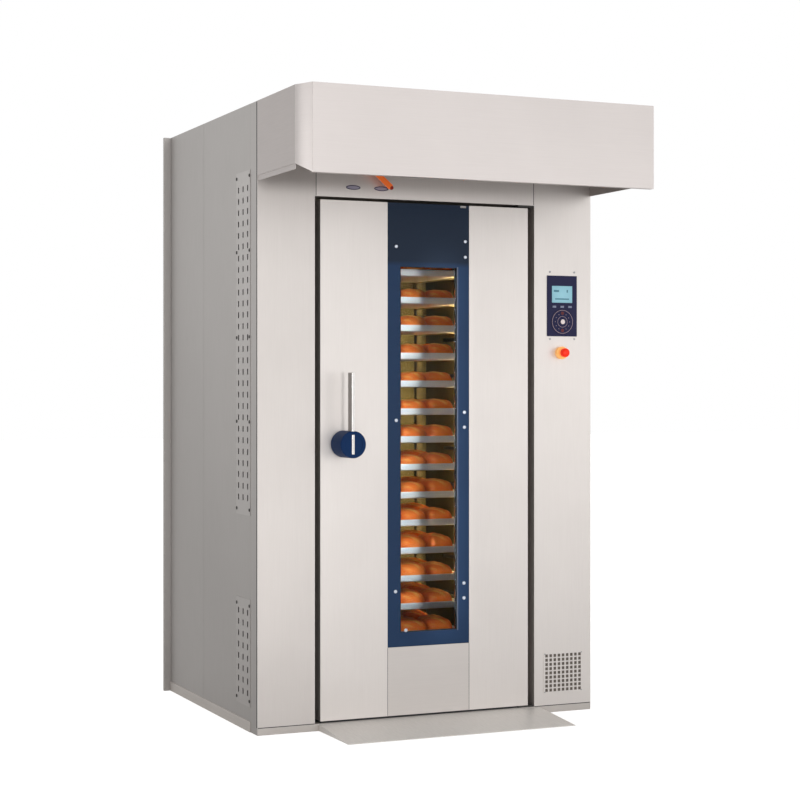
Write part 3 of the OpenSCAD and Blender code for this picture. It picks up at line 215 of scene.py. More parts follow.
lightSettings = {
    "keyStrength": 0.54, "keyPlace": (0, -4, 3), "keyTurn": (89.6, 0, 1), "keyAngle": 8,
    "skyStrength": 0.5,
    "panels": {
        # name: (power, place, aimed at, width, height, spread in degrees)
        "softBox": (15, (3.6, -5.2, 1.1), (0, -0.3, 1.1), 1.6, 1.9, 180),
        "sideFill": (22, (-4.2, 1.6, 1.7), (-0.72, 0.1, 1.5), 2.4, 2.2, 180),
        "lowFill": (8, (-0.5, -3.3, 0.25), (0.1, -0.33, 2.1), 2.2, 0.4, 180),
        "topLight": (16, (0.6, 0, 5.0), (0.6, 0, 0), 4, 4, 180),
        "windowBeam": (0.45, (0.05, -1.9, 1.045), (0.05, 0, 1.10), 0.1, 1.42, 9),
    },
}

# soft key light, level and from straight in front, so that the hood's edge shades the header
bpy.ops.object.light_add(type="SUN", location=lightSettings["keyPlace"],
                         rotation=[math.radians(a) for a in lightSettings["keyTurn"]])
keyLight = bpy.context.object
keyLight.name = "keyLight"
keyLight.data.energy = lightSettings["keyStrength"]
keyLight.data.angle = math.radians(lightSettings["keyAngle"])

# a soft box on the right that draws the shadows to the left, a panel behind on the left for the
# side, a low one that reaches under the hood, a weak one over the roof, and a narrow beam through
# the window that whitens the left part of the tray fronts
for name, (power, at, aim, width, height, spread) in lightSettings["panels"].items():
    way = Vector(aim) - Vector(at)
    bpy.ops.object.light_add(type="AREA", location=at,
                             rotation=way.to_track_quat("-Z", "Y").to_euler())
    lamp = bpy.context.object
    lamp.name = name
    lamp.data.shape = "RECTANGLE"
    lamp.data.energy = power
    lamp.data.size, lamp.data.size_y = width, height
    lamp.data.spread = math.radians(spread)

# a white room for the camera, for metal and for glass, which lights the oven only softly
world = bpy.data.worlds.new("studio")
bpy.context.scene.world = world
world.use_nodes = True
sky = world.node_tree
sky.nodes.clear()
path = addNode(sky, "LightPath")
seen = addNode(sky, "Math", {"operation": "MAXIMUM"},
               {0: path.outputs["Is Camera Ray"], 1: path.outputs["Is Glossy Ray"]})
seenAll = addNode(sky, "Math", {"operation": "MAXIMUM"},
                  {0: seen.outputs[0], 1: path.outputs["Is Transmission Ray"]})
level = addNode(sky, "MapRange", {"To Min": lightSettings["skyStrength"], "To Max": 1.0},
                {"Value": seenAll.outputs[0]})
background = addNode(sky, "Background", {"Color": (1, 1, 1, 1)},
                     {"Strength": level.outputs[0]})
addNode(sky, "OutputWorld", None, {"Surface": background.outputs[0]})

# pale seamless paper; it shows the camera a little more than its own white, so only the shadow
# tints it
paperSettings = {
    "size": 60, "back": 8, "dark": "f6f5f4", "light": "fbfaf9", "cloud": 3.0,
    "rough": 0.9, "shine": 0.1, "lift": 0.66,
}
letGo()
bpy.ops.mesh.primitive_plane_add(size=paperSettings["size"], location=(0, paperSettings["back"], 0))
floor = bpy.context.object
floor.name = "studioFloor"
paper = bpy.data.materials.new("studioPaper")
paper.use_nodes = True
tree = paper.node_tree
tree.nodes.clear()
path = addNode(tree, "LightPath")
grain = addNode(tree, "TexNoise", {"Scale": paperSettings["cloud"], "Detail": 3.0})
tint = addNode(tree, "Mix", {"data_type": "RGBA", 6: linear(paperSettings["dark"]),
                                       7: linear(paperSettings["light"])},
               {0: grain.outputs["Fac"]})
matt = addNode(tree, "BsdfPrincipled",
               {"Roughness": paperSettings["rough"], "Specular IOR Level": paperSettings["shine"]},
               {"Base Color": tint.outputs[2]})
lift = addNode(tree, "Emission", {"Color": (1, 1, 1, 1), "Strength": paperSettings["lift"]})
both = addNode(tree, "AddShader", None, {0: matt.outputs[0], 1: lift.outputs[0]})
shown = addNode(tree, "MixShader", None,
                {0: path.outputs["Is Camera Ray"], 1: matt.outputs[0], 2: both.outputs[0]})
addNode(tree, "OutputMaterial", None, {"Surface": shown.outputs[0]})
floor.data.materials.append(paper)
print("camera, light and floor ready")


def emptyFinish(name):
    finish = bpy.data.materials.new(name)
    finish.use_nodes = True
    finish.node_tree.nodes.clear()
    return finish, finish.node_tree


def cloudyFinish(name, look, detail, roughness=0.5):
    # what most finishes begin with: a tone that drifts in clouds between a dark and a light colour
    finish, tree = emptyFinish(name)
    where = addNode(tree, "TexCoord").outputs["Object"]
    cloud = addNode(tree, "TexNoise",
                    {"Scale": look["cloud"], "Detail": detail, "Roughness": roughness},
                    {"Vector": where}).outputs["Fac"]
    tone = addNode(tree, "Mix",
                   {"data_type": "RGBA", 6: linear(look["dark"]), 7: linear(look["light"])},
                   {0: cloud}).outputs[2]
    return finish, tree, where, cloud, tone


def grained(tree, where, look, detail, roughness=0.5):
    # the fine orange peel or grain of a coat, as a normal
    peel = addNode(tree, "TexNoise",
                   {"Scale": look["peel"], "Detail": detail, "Roughness": roughness},
                   {"Vector": where})
    return addNode(tree, "Bump", {"Strength": look["bump"], "Distance": 0.0003},
                   {"Height": peel.outputs["Fac"]}).outputs[0]


def ended(finish, shader):
    addNode(finish.node_tree, "OutputMaterial", None, {"Surface": shader.outputs[0]})
    return finish


# what a sheet has where its own look says nothing else; grain, cloud and peel are per metre
sheetDefaults = {
    "grain": (650, 650, 9), "cloud": 1.6, "metal": 0.75, "rough": 0.42, "streak": 0.10,
    "bump": 0.12, "uneven": 0.07,
}


def sheetMetal(name, look):
    # rolled and brushed sheet: fine grain along one way, faint cloudy tarnish, satin shine
    look = {**sheetDefaults, **look}
    finish, tree, where, cloud, tone = cloudyFinish(name, look, 4.0, 0.55)
    along = addNode(tree, "Mapping", {"Scale": look["grain"]}, {"Vector": where})
    grain = addNode(tree, "TexNoise", {"Scale": 1.0, "Detail": 6.0, "Roughness": 0.65},
                    {"Vector": along.outputs[0]}).outputs["Fac"]
    streak = addNode(tree, "MapRange", {"From Min": 0.3, "From Max": 0.7, "To Max": look["streak"]},
                     {"Value": grain})
    colour = addNode(tree, "Mix", {"data_type": "RGBA", 7: linear(look["groove"])},
                     {0: streak.outputs[0], 6: tone})
    rough = addNode(tree, "MapRange",
                    {"From Min": 0.25, "From Max": 0.75, "To Min": look["rough"] - look["uneven"],
                     "To Max": look["rough"] + look["uneven"]}, {"Value": grain})
    bump = addNode(tree, "Bump", {"Strength": look["bump"], "Distance": 0.0004}, {"Height": grain})
    shader = addNode(tree, "BsdfPrincipled", {"Metallic": look["metal"]},
                     {"Base Color": colour.outputs[2], "Roughness": rough.outputs[0],
                      "Normal": bump.outputs[0]})
    return ended(finish, shader)


coatDefaults = {
    "peel": 900, "cloud": 5.0, "rough": 0.4, "bump": 0.15, "shine": 0.5, "ior": 1.5,
    "metal": 0.0, "coat": 0.0, "glow": 0.0,
}


def coated(name, look):
    # paint, enamel or moulded plastic: orange-peel or fine grain, slight fading
    look = {**coatDefaults, **look}
    finish, tree, where, cloud, tone = cloudyFinish(name, look, 5.0)
    rough = addNode(tree, "MapRange",
                    {"From Min": 0.3, "From Max": 0.7, "To Min": look["rough"] - 0.05,
                     "To Max": look["rough"] + 0.06}, {"Value": cloud})
    shader = addNode(tree, "BsdfPrincipled",
                     {"Coat Weight": look["coat"], "Coat Roughness": 0.08, "IOR": look["ior"],
                      "Metallic": look["metal"], "Specular IOR Level": look["shine"],
                      "Emission Strength": look["glow"]},
                     {"Base Color": tone, "Roughness": rough.outputs[0],
                      "Normal": grained(tree, where, look, 3.0, 0.6), "Emission Color": tone})
    return ended(finish, shader)


# AISI 304 sheet with a satin grind: pale warm grey, grain runs upright on the front; real grain is
# 0.3 mm wide and is drawn about 1.5 mm wide so that it shows
satinFront = sheetMetal("satinStainless", {"dark": "cfc9c5", "light": "e0dad6", "groove": "b5aeaa"})
# the same sheet with the grain lying level on the hood
satinLevel = sheetMetal("satinStainlessLevel", {
    "dark": "cdc6c3", "light": "ddd6d3", "groove": "b5adaa", "grain": (8, 8, 620)})
# the left column in a touch darker copy of the front sheet: painted shade
shadedColumnSheet = sheetMetal("satinStainlessColumnShaded", {
    "dark": "c3bdb9", "light": "d3cdc9", "groove": "aaa4a0"})
# the door's lower middle sheet is cut across the roll, so its grain lies level, and its tone is a
# little darker than the sheets beside it
satinLower = sheetMetal("satinStainlessLower", {
    "dark": "c3bdb9", "light": "d3cdc9", "groove": "aba6a2", "grain": (8, 8, 620)})
# ends of the hood, ground across, in a darker copy of the sheet: painted shade on the hood's ends
hoodSideShade = sheetMetal("satinStainlessEndShaded", {
    "dark": "a8a19e", "light": "b6afac", "groove": "948d8a", "grain": (8, 8, 620),
    "metal": 0.7, "rough": 0.45})
# cladding of the sides: rolled dull, in a darker neutral grey copy of the front's stainless:
# painted shade on the sides
shadedSideSheet = sheetMetal("shadedSideStainless", {
    "dark": "a39f9c", "light": "b3afac", "groove": "8f8b88", "grain": (500, 500, 7),
    "metal": 0.7, "rough": 0.5, "streak": 0.14, "cloud": 0.9})
# slotted plates over the air slots, a touch lighter than the cladding and, like it, a darker copy
# of the stainless: painted shade on the side
shadedVentPlate = sheetMetal("shadedVentPlateStainless", {
    "dark": "a9a5a2", "light": "b9b5b2", "groove": "94908d", "grain": (500, 500, 7),
    "metal": 0.7, "rough": 0.45, "streak": 0.12})
# the ramp is walked on and rolled over: scuffed, rougher, long scratches front to back
rampSteel = sheetMetal("scuffedStainless", {
    "dark": "ece8e3", "light": "f8f4ef", "groove": "c2bdb8", "grain": (300, 6, 300),
    "metal": 0.35, "rough": 0.5, "streak": 0.25, "bump": 0.25})
# plinth rails: the same sheet, dulled by mopping
plinthSteel = sheetMetal("moppedStainless", {
    "dark": "bcb6b1", "light": "cec8c3", "groove": "9d9792", "grain": (9, 9, 500),
    "metal": 0.6, "rough": 0.5, "streak": 0.2, "cloud": 5.0})
# hot-dip galvanised sheet of roof and ducts: cool grey with a cloudy spangle
galvanised = sheetMetal("galvanisedSheet", {
    "dark": "8b8e90", "light": "a9acad", "groove": "76797b", "grain": (60, 60, 60),
    "metal": 0.8, "rough": 0.55, "streak": 0.3, "cloud": 22})
# inner sheets: stainless that heat and steam have browned
chamberSteel = sheetMetal("heatTintedStainless", {
    "dark": "4e4b3e", "light": "66624f", "groove": "35332a", "grain": (400, 400, 8),
    "metal": 0.6, "rough": 0.45, "streak": 0.2, "cloud": 3.0})
# drawn tube and angle of the rack: greasy and browned by the heat, and darkened further as painted
# shade so that its posts stay dark between the trays
rackBrownedAndShaded = sheetMetal("rackStainlessBrownedShaded", {
    "dark": "5c5850", "light": "726d64", "groove": "46423b", "grain": (300, 300, 12),
    "metal": 0.85, "rough": 0.33, "streak": 0.2, "cloud": 4.0})
# turned and milled steel: bright, with fine tool marks
machined = sheetMetal("machinedSteel", {
    "dark": "97989a", "light": "b4b5b7", "groove": "707274", "grain": (40, 40, 900),
    "metal": 0.95, "rough": 0.3, "streak": 0.25, "cloud": 8.0})
# polished lever bar: the brightest steel of the front
leverSteel = sheetMetal("polishedStainless", {
    "dark": "dcd8d5", "light": "efecea", "groove": "b9b5b2", "grain": (500, 500, 10),
    "metal": 0.85, "rough": 0.24, "streak": 0.08})
# zinc-plated button heads: bluish and a little duller than the lever
boltSteel = sheetMetal("zincPlated", {
    "dark": "d0d6e0", "light": "e4eaf4", "groove": "a8aeb8", "grain": (60, 60, 60),
    "metal": 0.8, "rough": 0.38})
# side faces of the lever bar in a darker copy of its steel: painted shade on the lever's sides
leverSideShade = sheetMetal("shadedLeverSide", {
    "dark": "8a8582", "light": "9a9592", "groove": "73706d", "grain": (500, 500, 10),
    "metal": 0.7, "rough": 0.4, "streak": 0.08})
# inner skin of the door, polished so that it wipes clean; its tunnel mirrors the trays
polishedPan = sheetMetal("polishedPan", {
    "dark": "8d8d95", "light": "9c9ca4", "groove": "74747c", "grain": (9, 9, 300),
    "metal": 1.0, "rough": 0.16, "streak": 0.06})
# pressed aluminised tray: silvery, with a faint baked-on film in clouds
trayMetal = sheetMetal("bakedTrayAluminium", {
    "dark": "ccd0e0", "light": "e2e6f4", "groove": "a2a6b6", "grain": (10, 10, 260),
    "metal": 0.7, "streak": 0.15, "cloud": 9.0})
# sheathed heating rods, oxidised almost black
elementSteel = sheetMetal("oxidisedSheath", {
    "dark": "3a322d", "light": "5b514a", "groove": "241e1a", "grain": (120, 120, 120),
    "metal": 0.6, "rough": 0.6, "streak": 0.4, "cloud": 18})
# oiled cast iron of the gears: dark with a wet shine
gearIron = sheetMetal("oiledIron", {
    "dark": "6d675f", "light": "8b847a", "groove": "3f3a34", "grain": (150, 150, 150),
    "metal": 0.8, "rough": 0.38, "streak": 0.35, "cloud": 15})

# oven-baked gloss paint on the boss: deep blue, a soft shine
blueGloss = coated("blueGlossPaint", {
    "dark": "1a325a", "light": "1e3a66", "peel": 300, "rough": 0.42, "shine": 0.08, "ior": 1.3,
    "bump": 0.08})
# moulded membrane panel: near-black violet blue, fine grain
panelPlastic = coated("membranePanel", {
    "dark": "1c1c40", "light": "24244c", "peel": 1200, "shine": 0.2, "bump": 0.2})
# moulded key caps: the same blue greyed, matt
keyPlastic = coated("keyCapPlastic", {
    "dark": "7d84a0", "light": "959cb6", "peel": 1500, "rough": 0.45, "bump": 0.2})
# glass-filled polyamide collar and mushroom head of the stop; both glow a little, painted light
# that brightens them
orangePlastic = coated("orangePolyamide", {
    "dark": "ffb058", "light": "ffc074", "peel": 1400, "bump": 0.2, "glow": 0.4})
redPlastic = coated("redPolyamide", {
    "dark": "e8220c", "light": "f43316", "peel": 1400, "rough": 0.35, "shine": 0.25, "bump": 0.1,
    "glow": 0.4})
# sprayed powder on the electrical box: pale grey with a coarse peel
greyPowder = coated("greyPowderCoat", {
    "dark": "b3b3ab", "light": "c6c6be", "peel": 700, "rough": 0.5, "bump": 0.4})
# the hinge brackets in dark paint, so that they vanish in the gap over the door: painted shade of
# the gap
gapShadePaint = coated("bracketGapShade", {
    "dark": "2b2927", "light": "3a3836", "peel": 500, "rough": 0.55, "bump": 0.4})
# machine enamel of the motors: blue, thick and wavy
motorPaint = coated("motorPaint", {
    "dark": "30475a", "light": "40596d", "peel": 400, "bump": 0.5, "coat": 0.1})
# silicone of seals and joints: black and matt
rubber = coated("siliconeSeal", {"dark": "17171a", "light": "26262a", "rough": 0.65, "bump": 0.3})
# heat-proof resin of the castor wheels: black-brown, scuffed
wheelPlastic = coated("heatProofWheel", {
    "dark": "1f1e1d", "light": "33312f", "peel": 600, "rough": 0.6, "bump": 0.4})
# pressed mineral wool: yellow-brown, fibrous, no shine
woolBoard = coated("mineralWoolBoard", {
    "dark": "8d8361", "light": "b3a981", "peel": 260, "rough": 0.95, "bump": 1.0, "cloud": 30.0,
    "shine": 0.1})

# the darker strip over the window is a painted reflection of the hood
enamelSettings = {
    "dark": "143052", "light": "1a3a60", "upper": "0d2239",
    "from": 1.79, "to": 1.812,  # heights in metres between which the tone drops
    "cloud": 4.0, "peel": 260.0, "bump": 0.06, "rough": 0.4, "shine": 0.22,
}


def bluePaintFinish(look):
    # stove enamel on the door's middle frame; the strip above the window is painted darker, a
    # painted dark reflection of the hood over it, so the tone drops over the window's head
    finish, tree, where, cloud, lower = cloudyFinish("blueStoveEnamel", look, 4.0)
    height = addNode(tree, "SeparateXYZ", None, {0: where})
    reflectionBand = addNode(tree, "MapRange", {"From Min": look["from"], "From Max": look["to"]},
                   {"Value": height.outputs["Z"]})
    colour = addNode(tree, "Mix", {"data_type": "RGBA", 7: linear(look["upper"])},
                     {0: reflectionBand.outputs[0], 6: lower})
    shader = addNode(tree, "BsdfPrincipled",
                     {"Roughness": look["rough"], "Specular IOR Level": look["shine"]},
                     {"Base Color": colour.outputs[2], "Normal": grained(tree, where, look, 2.0)})
    return ended(finish, shader)


blueEnamel = bluePaintFinish(enamelSettings)

# the lever's glow is painted light; it is no lamp
dipSettings = {
    "dark": "ff6a20", "light": "ff8440", "tip": "8c2416",
    "tipPlace": (541, -34, 2087), "from": 0.010, "to": 0.013,  # the red ends 10 to 13 mm from it
    "cloud": 6.0, "peel": 500.0, "bump": 0.15, "rough": 0.35, "shine": 0.3, "glow": 0.12,
}


def leverDipFinish(look):
    # damper lever dipped in orange, its tip in dark red; a faint glow brightens it in the hood's
    # shade, painted light
    finish, tree, where, cloud, orange = cloudyFinish("leverDip", look, 4.0)
    apart = addNode(tree, "VectorMath",
                    {"operation": "DISTANCE", 1: place(*look["tipPlace"])}, {0: where})
    dipped = addNode(tree, "MapRange", {"From Min": look["from"], "From Max": look["to"]},
                     {"Value": apart.outputs["Value"]})
    colour = addNode(tree, "Mix", {"data_type": "RGBA", 6: linear(look["tip"])},
                     {0: dipped.outputs[0], 7: orange}).outputs[2]
    shader = addNode(tree, "BsdfPrincipled",
                     {"Roughness": look["rough"], "Specular IOR Level": look["shine"],
                      "Emission Strength": look["glow"]},
                     {"Base Color": colour, "Normal": grained(tree, where, look, 2.0),
                      "Emission Color": colour})
    return ended(finish, shader)


damperOrange = leverDipFinish(dipSettings)

glassSettings = {
    "film": 6.0, "roughLeast": 0.01, "roughMost": 0.06, "tint": (0.975, 0.99, 0.98, 1),
    "mirror": "e8efec", "ior": 1.12,
}


def glassFinish(look):
    # toughened float glass with an anti-glare coating: clear, faint green, a weak mirror image; it
    # is drawn without bending the light, as a flat pane shifts the view only a millimetre or two
    finish, tree = emptyFinish("toughenedGlass")
    where = addNode(tree, "TexCoord").outputs["Object"]
    film = addNode(tree, "TexNoise", {"Scale": look["film"], "Detail": 5.0}, {"Vector": where})
    rough = addNode(tree, "MapRange", {"To Min": look["roughLeast"], "To Max": look["roughMost"]},
                    {"Value": film.outputs["Fac"]})
    clear = addNode(tree, "BsdfTransparent", {"Color": look["tint"]})
    mirror = addNode(tree, "BsdfPrincipled",
                     {"Base Color": linear(look["mirror"]), "Metallic": 1.0},
                     {"Roughness": rough.outputs[0]})
    slant = addNode(tree, "Fresnel", {"IOR": look["ior"]})
    mixed = addNode(tree, "MixShader", None,
                    {0: slant.outputs[0], 1: clear.outputs[0], 2: mirror.outputs[0]})
    return ended(finish, mixed)


paneGlass = glassFinish(glassSettings)

crustSettings = {
    "dark": "f0641e", "light": "ff9440", "flour": "ffc765", "cloud": 28.0,
    "cuts": {"Scale": 1.3, "Distortion": 2.2, "Detail": 2.0, "bands_direction": "DIAGONAL"},
    "opened": {"From Min": 0.6, "From Max": 0.95, "To Max": 0.8},
    "top": {"From Min": 0.45, "From Max": 0.95},
    "bump": 0.5, "rough": 0.5, "shine": 0.35,
}


def crustFinish(look):
    # bread crust: baked orange brown, paler floury cuts across the top, a soft shine of steam
    finish, tree, where, cloud, crust = cloudyFinish("bakedCrust", look, 5.0)
    flat = addNode(tree, "UVMap")
    cuts = addNode(tree, "TexWave", look["cuts"], {"Vector": flat.outputs[0]})
    facing = addNode(tree, "NewGeometry")
    upward = addNode(tree, "SeparateXYZ", None, {0: facing.outputs["Normal"]})
    onTop = addNode(tree, "MapRange", look["top"], {"Value": upward.outputs["Z"]})
    opened = addNode(tree, "MapRange", look["opened"], {"Value": cuts.outputs["Fac"]})
    share = addNode(tree, "Math", {"operation": "MULTIPLY"},
                    {0: onTop.outputs[0], 1: opened.outputs[0]})
    colour = addNode(tree, "Mix", {"data_type": "RGBA", 7: linear(look["flour"])},
                     {0: share.outputs[0], 6: crust})
    bump = addNode(tree, "Bump", {"Strength": look["bump"], "Distance": 0.003}, {"Height": cloud})
    shader = addNode(tree, "BsdfPrincipled",
                     {"Roughness": look["rough"], "Specular IOR Level": look["shine"]},
                     {"Base Color": colour.outputs[2], "Normal": bump.outputs[0]})
    return ended(finish, shader)


crust = crustFinish(crustSettings)


def glowing(name, look):
    # frosted lamp glass: bright, a little uneven along its length
    finish, tree, where, cloud, tone = cloudyFinish(name, look, 2.0)
    shader = addNode(tree, "BsdfPrincipled", {"Roughness": 0.4, "Emission Strength": look["glow"]},
                     {"Base Color": tone, "Emission Color": tone})
    return ended(finish, shader)


warmLamp = glowing("warmLampGlass", {
    "dark": "ffcf78", "light": "ffd98c", "cloud": 3.0, "glow": 60.0})
coolLamp = glowing("coolLampGlass", {
    "dark": "ebe6fb", "light": "f4f0ff", "cloud": 3.0, "glow": 80.0})


def screenFinish(look):
    # lit liquid-crystal panel: pale cyan, a little brighter towards its middle
    finish, tree = emptyFinish("litScreen")
    flat = addNode(tree, "UVMap")
    centred = addNode(tree, "Mapping", {"Location": (-0.5, -0.5, 0)}, {"Vector": flat.outputs[0]})
    middle = addNode(tree, "TexGradient", {"gradient_type": "SPHERICAL"},
                     {"Vector": centred.outputs[0]})
    tone = addNode(tree, "Mix",
                   {"data_type": "RGBA", 6: linear(look["dark"]), 7: linear(look["light"])},
                   {0: middle.outputs["Fac"]}).outputs[2]
    shader = addNode(tree, "BsdfPrincipled",
                     {"Roughness": 0.2, "Emission Strength": look["glow"],
                      "Specular IOR Level": look["shine"]},
                     {"Base Color": tone, "Emission Color": tone})
    return ended(finish, shader)


litScreen = screenFinish({"dark": "7fb2c2", "light": "98cbd9", "glow": 0.22, "shine": 0.3})
print("finishes ready")


# node: (finish, slot, edge radius in mm or None where the CAD shape stays as it is)
nodeLooks = {
    "base_frame": (plinthSteel, "dark_frame", 1.5),
    "chamber_floor": (galvanised, "insulation", None),
    "entry_ramp": (rampSteel, "ramp_steel", 0.9),
    "side_panels": (shadedSideSheet, "stainless_side", 0.6),
    "side_vent_plates": (shadedVentPlate, "stainless_side", None),
    "rear_panel": (shadedSideSheet, "stainless_side", 0.7),
    "roof_deck": (galvanised, "galvanised", None),
    "left_column": (shadedColumnSheet, "stainless_front", 0.8),
    "right_column": (satinFront, "stainless_front", 0.8),
    "header_panel": (satinFront, "stainless_front", 0.8),
    "hood_fascia": (satinLevel, "stainless_front", 0.8),
    "hood_canopy": (satinLevel, "stainless_front", 0.7),
    "seal_frame": (chamberSteel, "stainless_front", 0.8),
    "chamber_walls": (chamberSteel, "stainless_front", None),
    "wall_cassettes": (galvanised, "insulation", None),
    "roof_cassette": (galvanised, "insulation", None),
    "steam_cascade": (chamberSteel, "galvanised", None),
    "heating_elements": (elementSteel, "element_steel", None),
    "fan_motor": (motorPaint, "motor_paint", 1.5),
    "flue_pipe": (galvanised, "stainless_front", 0.6),
    "rack_gearmotor": (motorPaint, "motor_paint", 2.5),
    "hoist_frame": (machined, "machined_steel", 1.2),
    "electrical_box": (greyPowder, "box_paint", None),
    "control_panel": (panelPlastic, "panel_plastic", 1.2),
    "stop_collar": (orangePlastic, "orange_plastic", 1.5),
    "vent_grille": (satinFront, "stainless_front", None),
    "door_pivots": (gapShadePaint, "machined_steel", 1.0),
    "door_skins": (satinFront, "stainless_front", 0.8),
    "window_frame": (blueEnamel, "blue_enamel", 0.8),
    "window_panes": (paneGlass, "panes", None),
    "door_inner_pan": (polishedPan, "stainless_front", 0.8),
    "door_insulation": (woolBoard, "insulation", None),
    "door_seal": (rubber, "black_rubber", 3.0),
    "hinge_blocks": (machined, "machined_steel", None),
    "latch_case": (galvanised, "galvanised", None),
    "handle_boss": (blueGloss, "blue_enamel", 9.0),
    "handle_lever": (leverSteel, "stainless_front", 1.6),
    "latch_spindle": (machined, "machined_steel", 1.2),
    "latch_bolt": (machined, "machined_steel", None),
    **{f"control_key_{k}": (keyPlastic, "key_plastic", 0.8) for k in (1, 2, 3)},
    "control_dial": (panelPlastic, "panel_plastic", 1.0),
    "stop_button": (redPlastic, "red_plastic", 1.2),
    "damper_lever_arm": (damperOrange, "lever_steel", 1.6),
    "damper_flap": (galvanised, "machined_steel", None),
    "circulation_fan": (machined, "galvanised", None),
    "hoist_crosshead": (machined, "machined_steel", 1.5),
    "rack_spindle": (machined, "machined_steel", 1.0),
    "spindle_gear": (gearIron, "gear_steel", None),
    "rack_frame": (rackBrownedAndShaded, "rack_steel", 0.8),
    "tray_runners": (rackBrownedAndShaded, "rack_steel", None),
    "drive_pinion": (gearIron, "gear_steel", None),
    **{f"castor_fork_{side}": (machined, "rack_steel", 0.8) for side in ("left", "right")},
    **{f"castor_wheel_{corner}": (wheelPlastic, "castor_wheel", 3.0)
       for corner in ("front_left", "front_right", "rear_left", "rear_right")},
}

bodyOf = {}
for bodyName, nodeNames in frame["record"]["behaviour"]["bodies"].items():
    for nodeName in nodeNames:
        bodyOf[nodeName] = bodyName

# millimetres and degrees; a radius over "large" gets twice the segments
edgeSettings = {"merge": 0.004, "flat": 0.5, "fold": 40, "smooth": 35, "large": 4}


def softened(nodeName, finish, radius, settings):
    # a copy of the node with its folds and edges rounded, which then stands for the node
    source = frame["nodes"][nodeName]
    piece = bpy.data.objects.new(nodeName + "_formed", source.data.copy())
    bpy.context.collection.objects.link(piece)
    piece.data.transform(source.matrix_world)
    edit(piece)
    bpy.ops.mesh.select_all(action="SELECT")
    bpy.ops.mesh.remove_doubles(threshold=settings["merge"] / 1000)
    bpy.ops.mesh.dissolve_limited(angle_limit=math.radians(settings["flat"]))
    leave()
    rounded(piece, radius, 4 if radius > settings["large"] else 2, settings["fold"])
    smoothed(piece, settings["smooth"])
    dressed(piece, finish, bodyOf[nodeName])
    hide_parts(nodeName)
    return piece


def secondFinish(piece, finish, test):
    # gives the faces that pass a test on their middle and direction a second finish
    piece.data.materials.append(finish)
    for face in piece.data.polygons:
        if test(face.center, face.normal):
            face.material_index = 1


def shadeByFacing(piece, finish, way=(1, 0, 0)):
    # gives the faces that look along one way a second, darker or lighter copy of the sheet: light
    # and shade painted by the way a face looks
    secondFinish(piece, finish, lambda middle, normal: abs(normal.dot(Vector(way))) > 0.97)


formed = {}
for nodeName, (finish, slotName, radius) in nodeLooks.items():
    if radius:
        formed[nodeName] = softened(nodeName, finish, radius, edgeSettings)
    for materialSlot in frame["nodes"][nodeName].material_slots:
        materialSlot.material = finish
# painted shade: the hood's ends, the lever's sides and the left column's side take darker copies of
# their sheets; the rear panel's back face takes the vent plates' sheet and its other faces the
# darker side sheet
shadeByFacing(formed["hood_canopy"], hoodSideShade)
shadeByFacing(formed["handle_lever"], leverSideShade)
shadeByFacing(formed["left_column"], shadedSideSheet)
shadeByFacing(formed["rear_panel"], shadedVentPlate, (0, 1, 0))
# the door's lower middle sheet, between its two joints
lowerSheet = {"left": 536, "right": 888, "top": 303}
left, right = place(lowerSheet["left"], 0, 0), place(lowerSheet["right"], 0, lowerSheet["top"])
secondFinish(formed["door_skins"], satinLower,
             lambda middle, normal: left.x < middle.x < right.x and middle.z < right.z)
print("CAD nodes finished:", len(nodeLooks), "of which formed:", len(formed))


# round, rim, wall and socket are shares of the head's height or radius
headSettings = {"sides": 24, "round": 0.75, "fullness": 0.6, "rim": 0.12, "wall": 0.08,
                "socket": 0.35}
boltSettings = {
    "head": 7, "height": 3.4,
    "places": [(572, 1867), (572, 1188), (569, 520), (871, 1895), (871, 1833),
               (867, 1218), (867, 1159), (865, 541), (865, 482), (613, 367)],
}


def domeBolt(name, x, d, z, settings, facing="front"):
    # button head with a socket: a disc whose front edge is rounded over and whose middle is sunk
    radius, height = settings["head"], settings["height"]
    ahead = Vector((0, -1, 0) if facing == "front" else (-1, 0, 0))
    centre = Vector((x, d, z)) + ahead * height / 2
    bolt = discPiece(name, centre, radius, height, headSettings["sides"], facing)
    edit(bolt)
    pick(bolt, lambda middle, normal: normal.dot(ahead) > 0.9)
    bpy.ops.mesh.bevel(offset=height * headSettings["round"] / 1000, segments=3, affect="EDGES",
                       profile=headSettings["fullness"])
    edit(bolt)
    pick(bolt, lambda middle, normal: normal.dot(ahead) > 0.99)
    insetMore((radius * headSettings["rim"], 0),
              (radius * headSettings["wall"], -height * headSettings["socket"]))
    leave()
    smoothed(bolt, 40)
    return bolt


(firstX, firstZ), *others = boltSettings["places"]
firstBolt = domeBolt("frameBolt", firstX, 0, firstZ, boltSettings)
frameBolts = repeated(firstBolt, "frame_bolts", [(x - firstX, 0, z - firstZ) for x, z in others])
dressed(frameBolts, boltSteel, "door")

gasketSettings = {"x": (591, 833), "z": (361, 1788), "width": 3, "out": 1.2, "lap": 2,
                  "round": 1.6}


def windowGasket(settings):
    # rubber bead pressed on the cut edge of the blue frame, a ring with a rounded face
    (x0, x1), (z0, z1), lap = settings["x"], settings["z"], settings["lap"]
    ring = boxPiece("window_gasket", (x0 - lap, -settings["out"], z0 - lap),
                    (x1 + lap, lap, z1 + lap))
    edit(ring)
    pick(ring, lambda middle, normal: abs(normal.y) > 0.9)
    insetMore((settings["width"], 0))
    centre, near = place((x0 + x1) / 2, 0, (z0 + z1) / 2), 0.002
    pick(ring, lambda middle, normal: abs(normal.y) > 0.9
         and abs(middle.x - centre.x) < near and abs(middle.z - centre.z) < near)
    bpy.ops.mesh.bridge_edge_loops()
    leave()
    rounded(ring, settings["round"], 3)
    smoothed(ring, 50)
    return dressed(ring, rubber, "door")


windowGasket(gasketSettings)

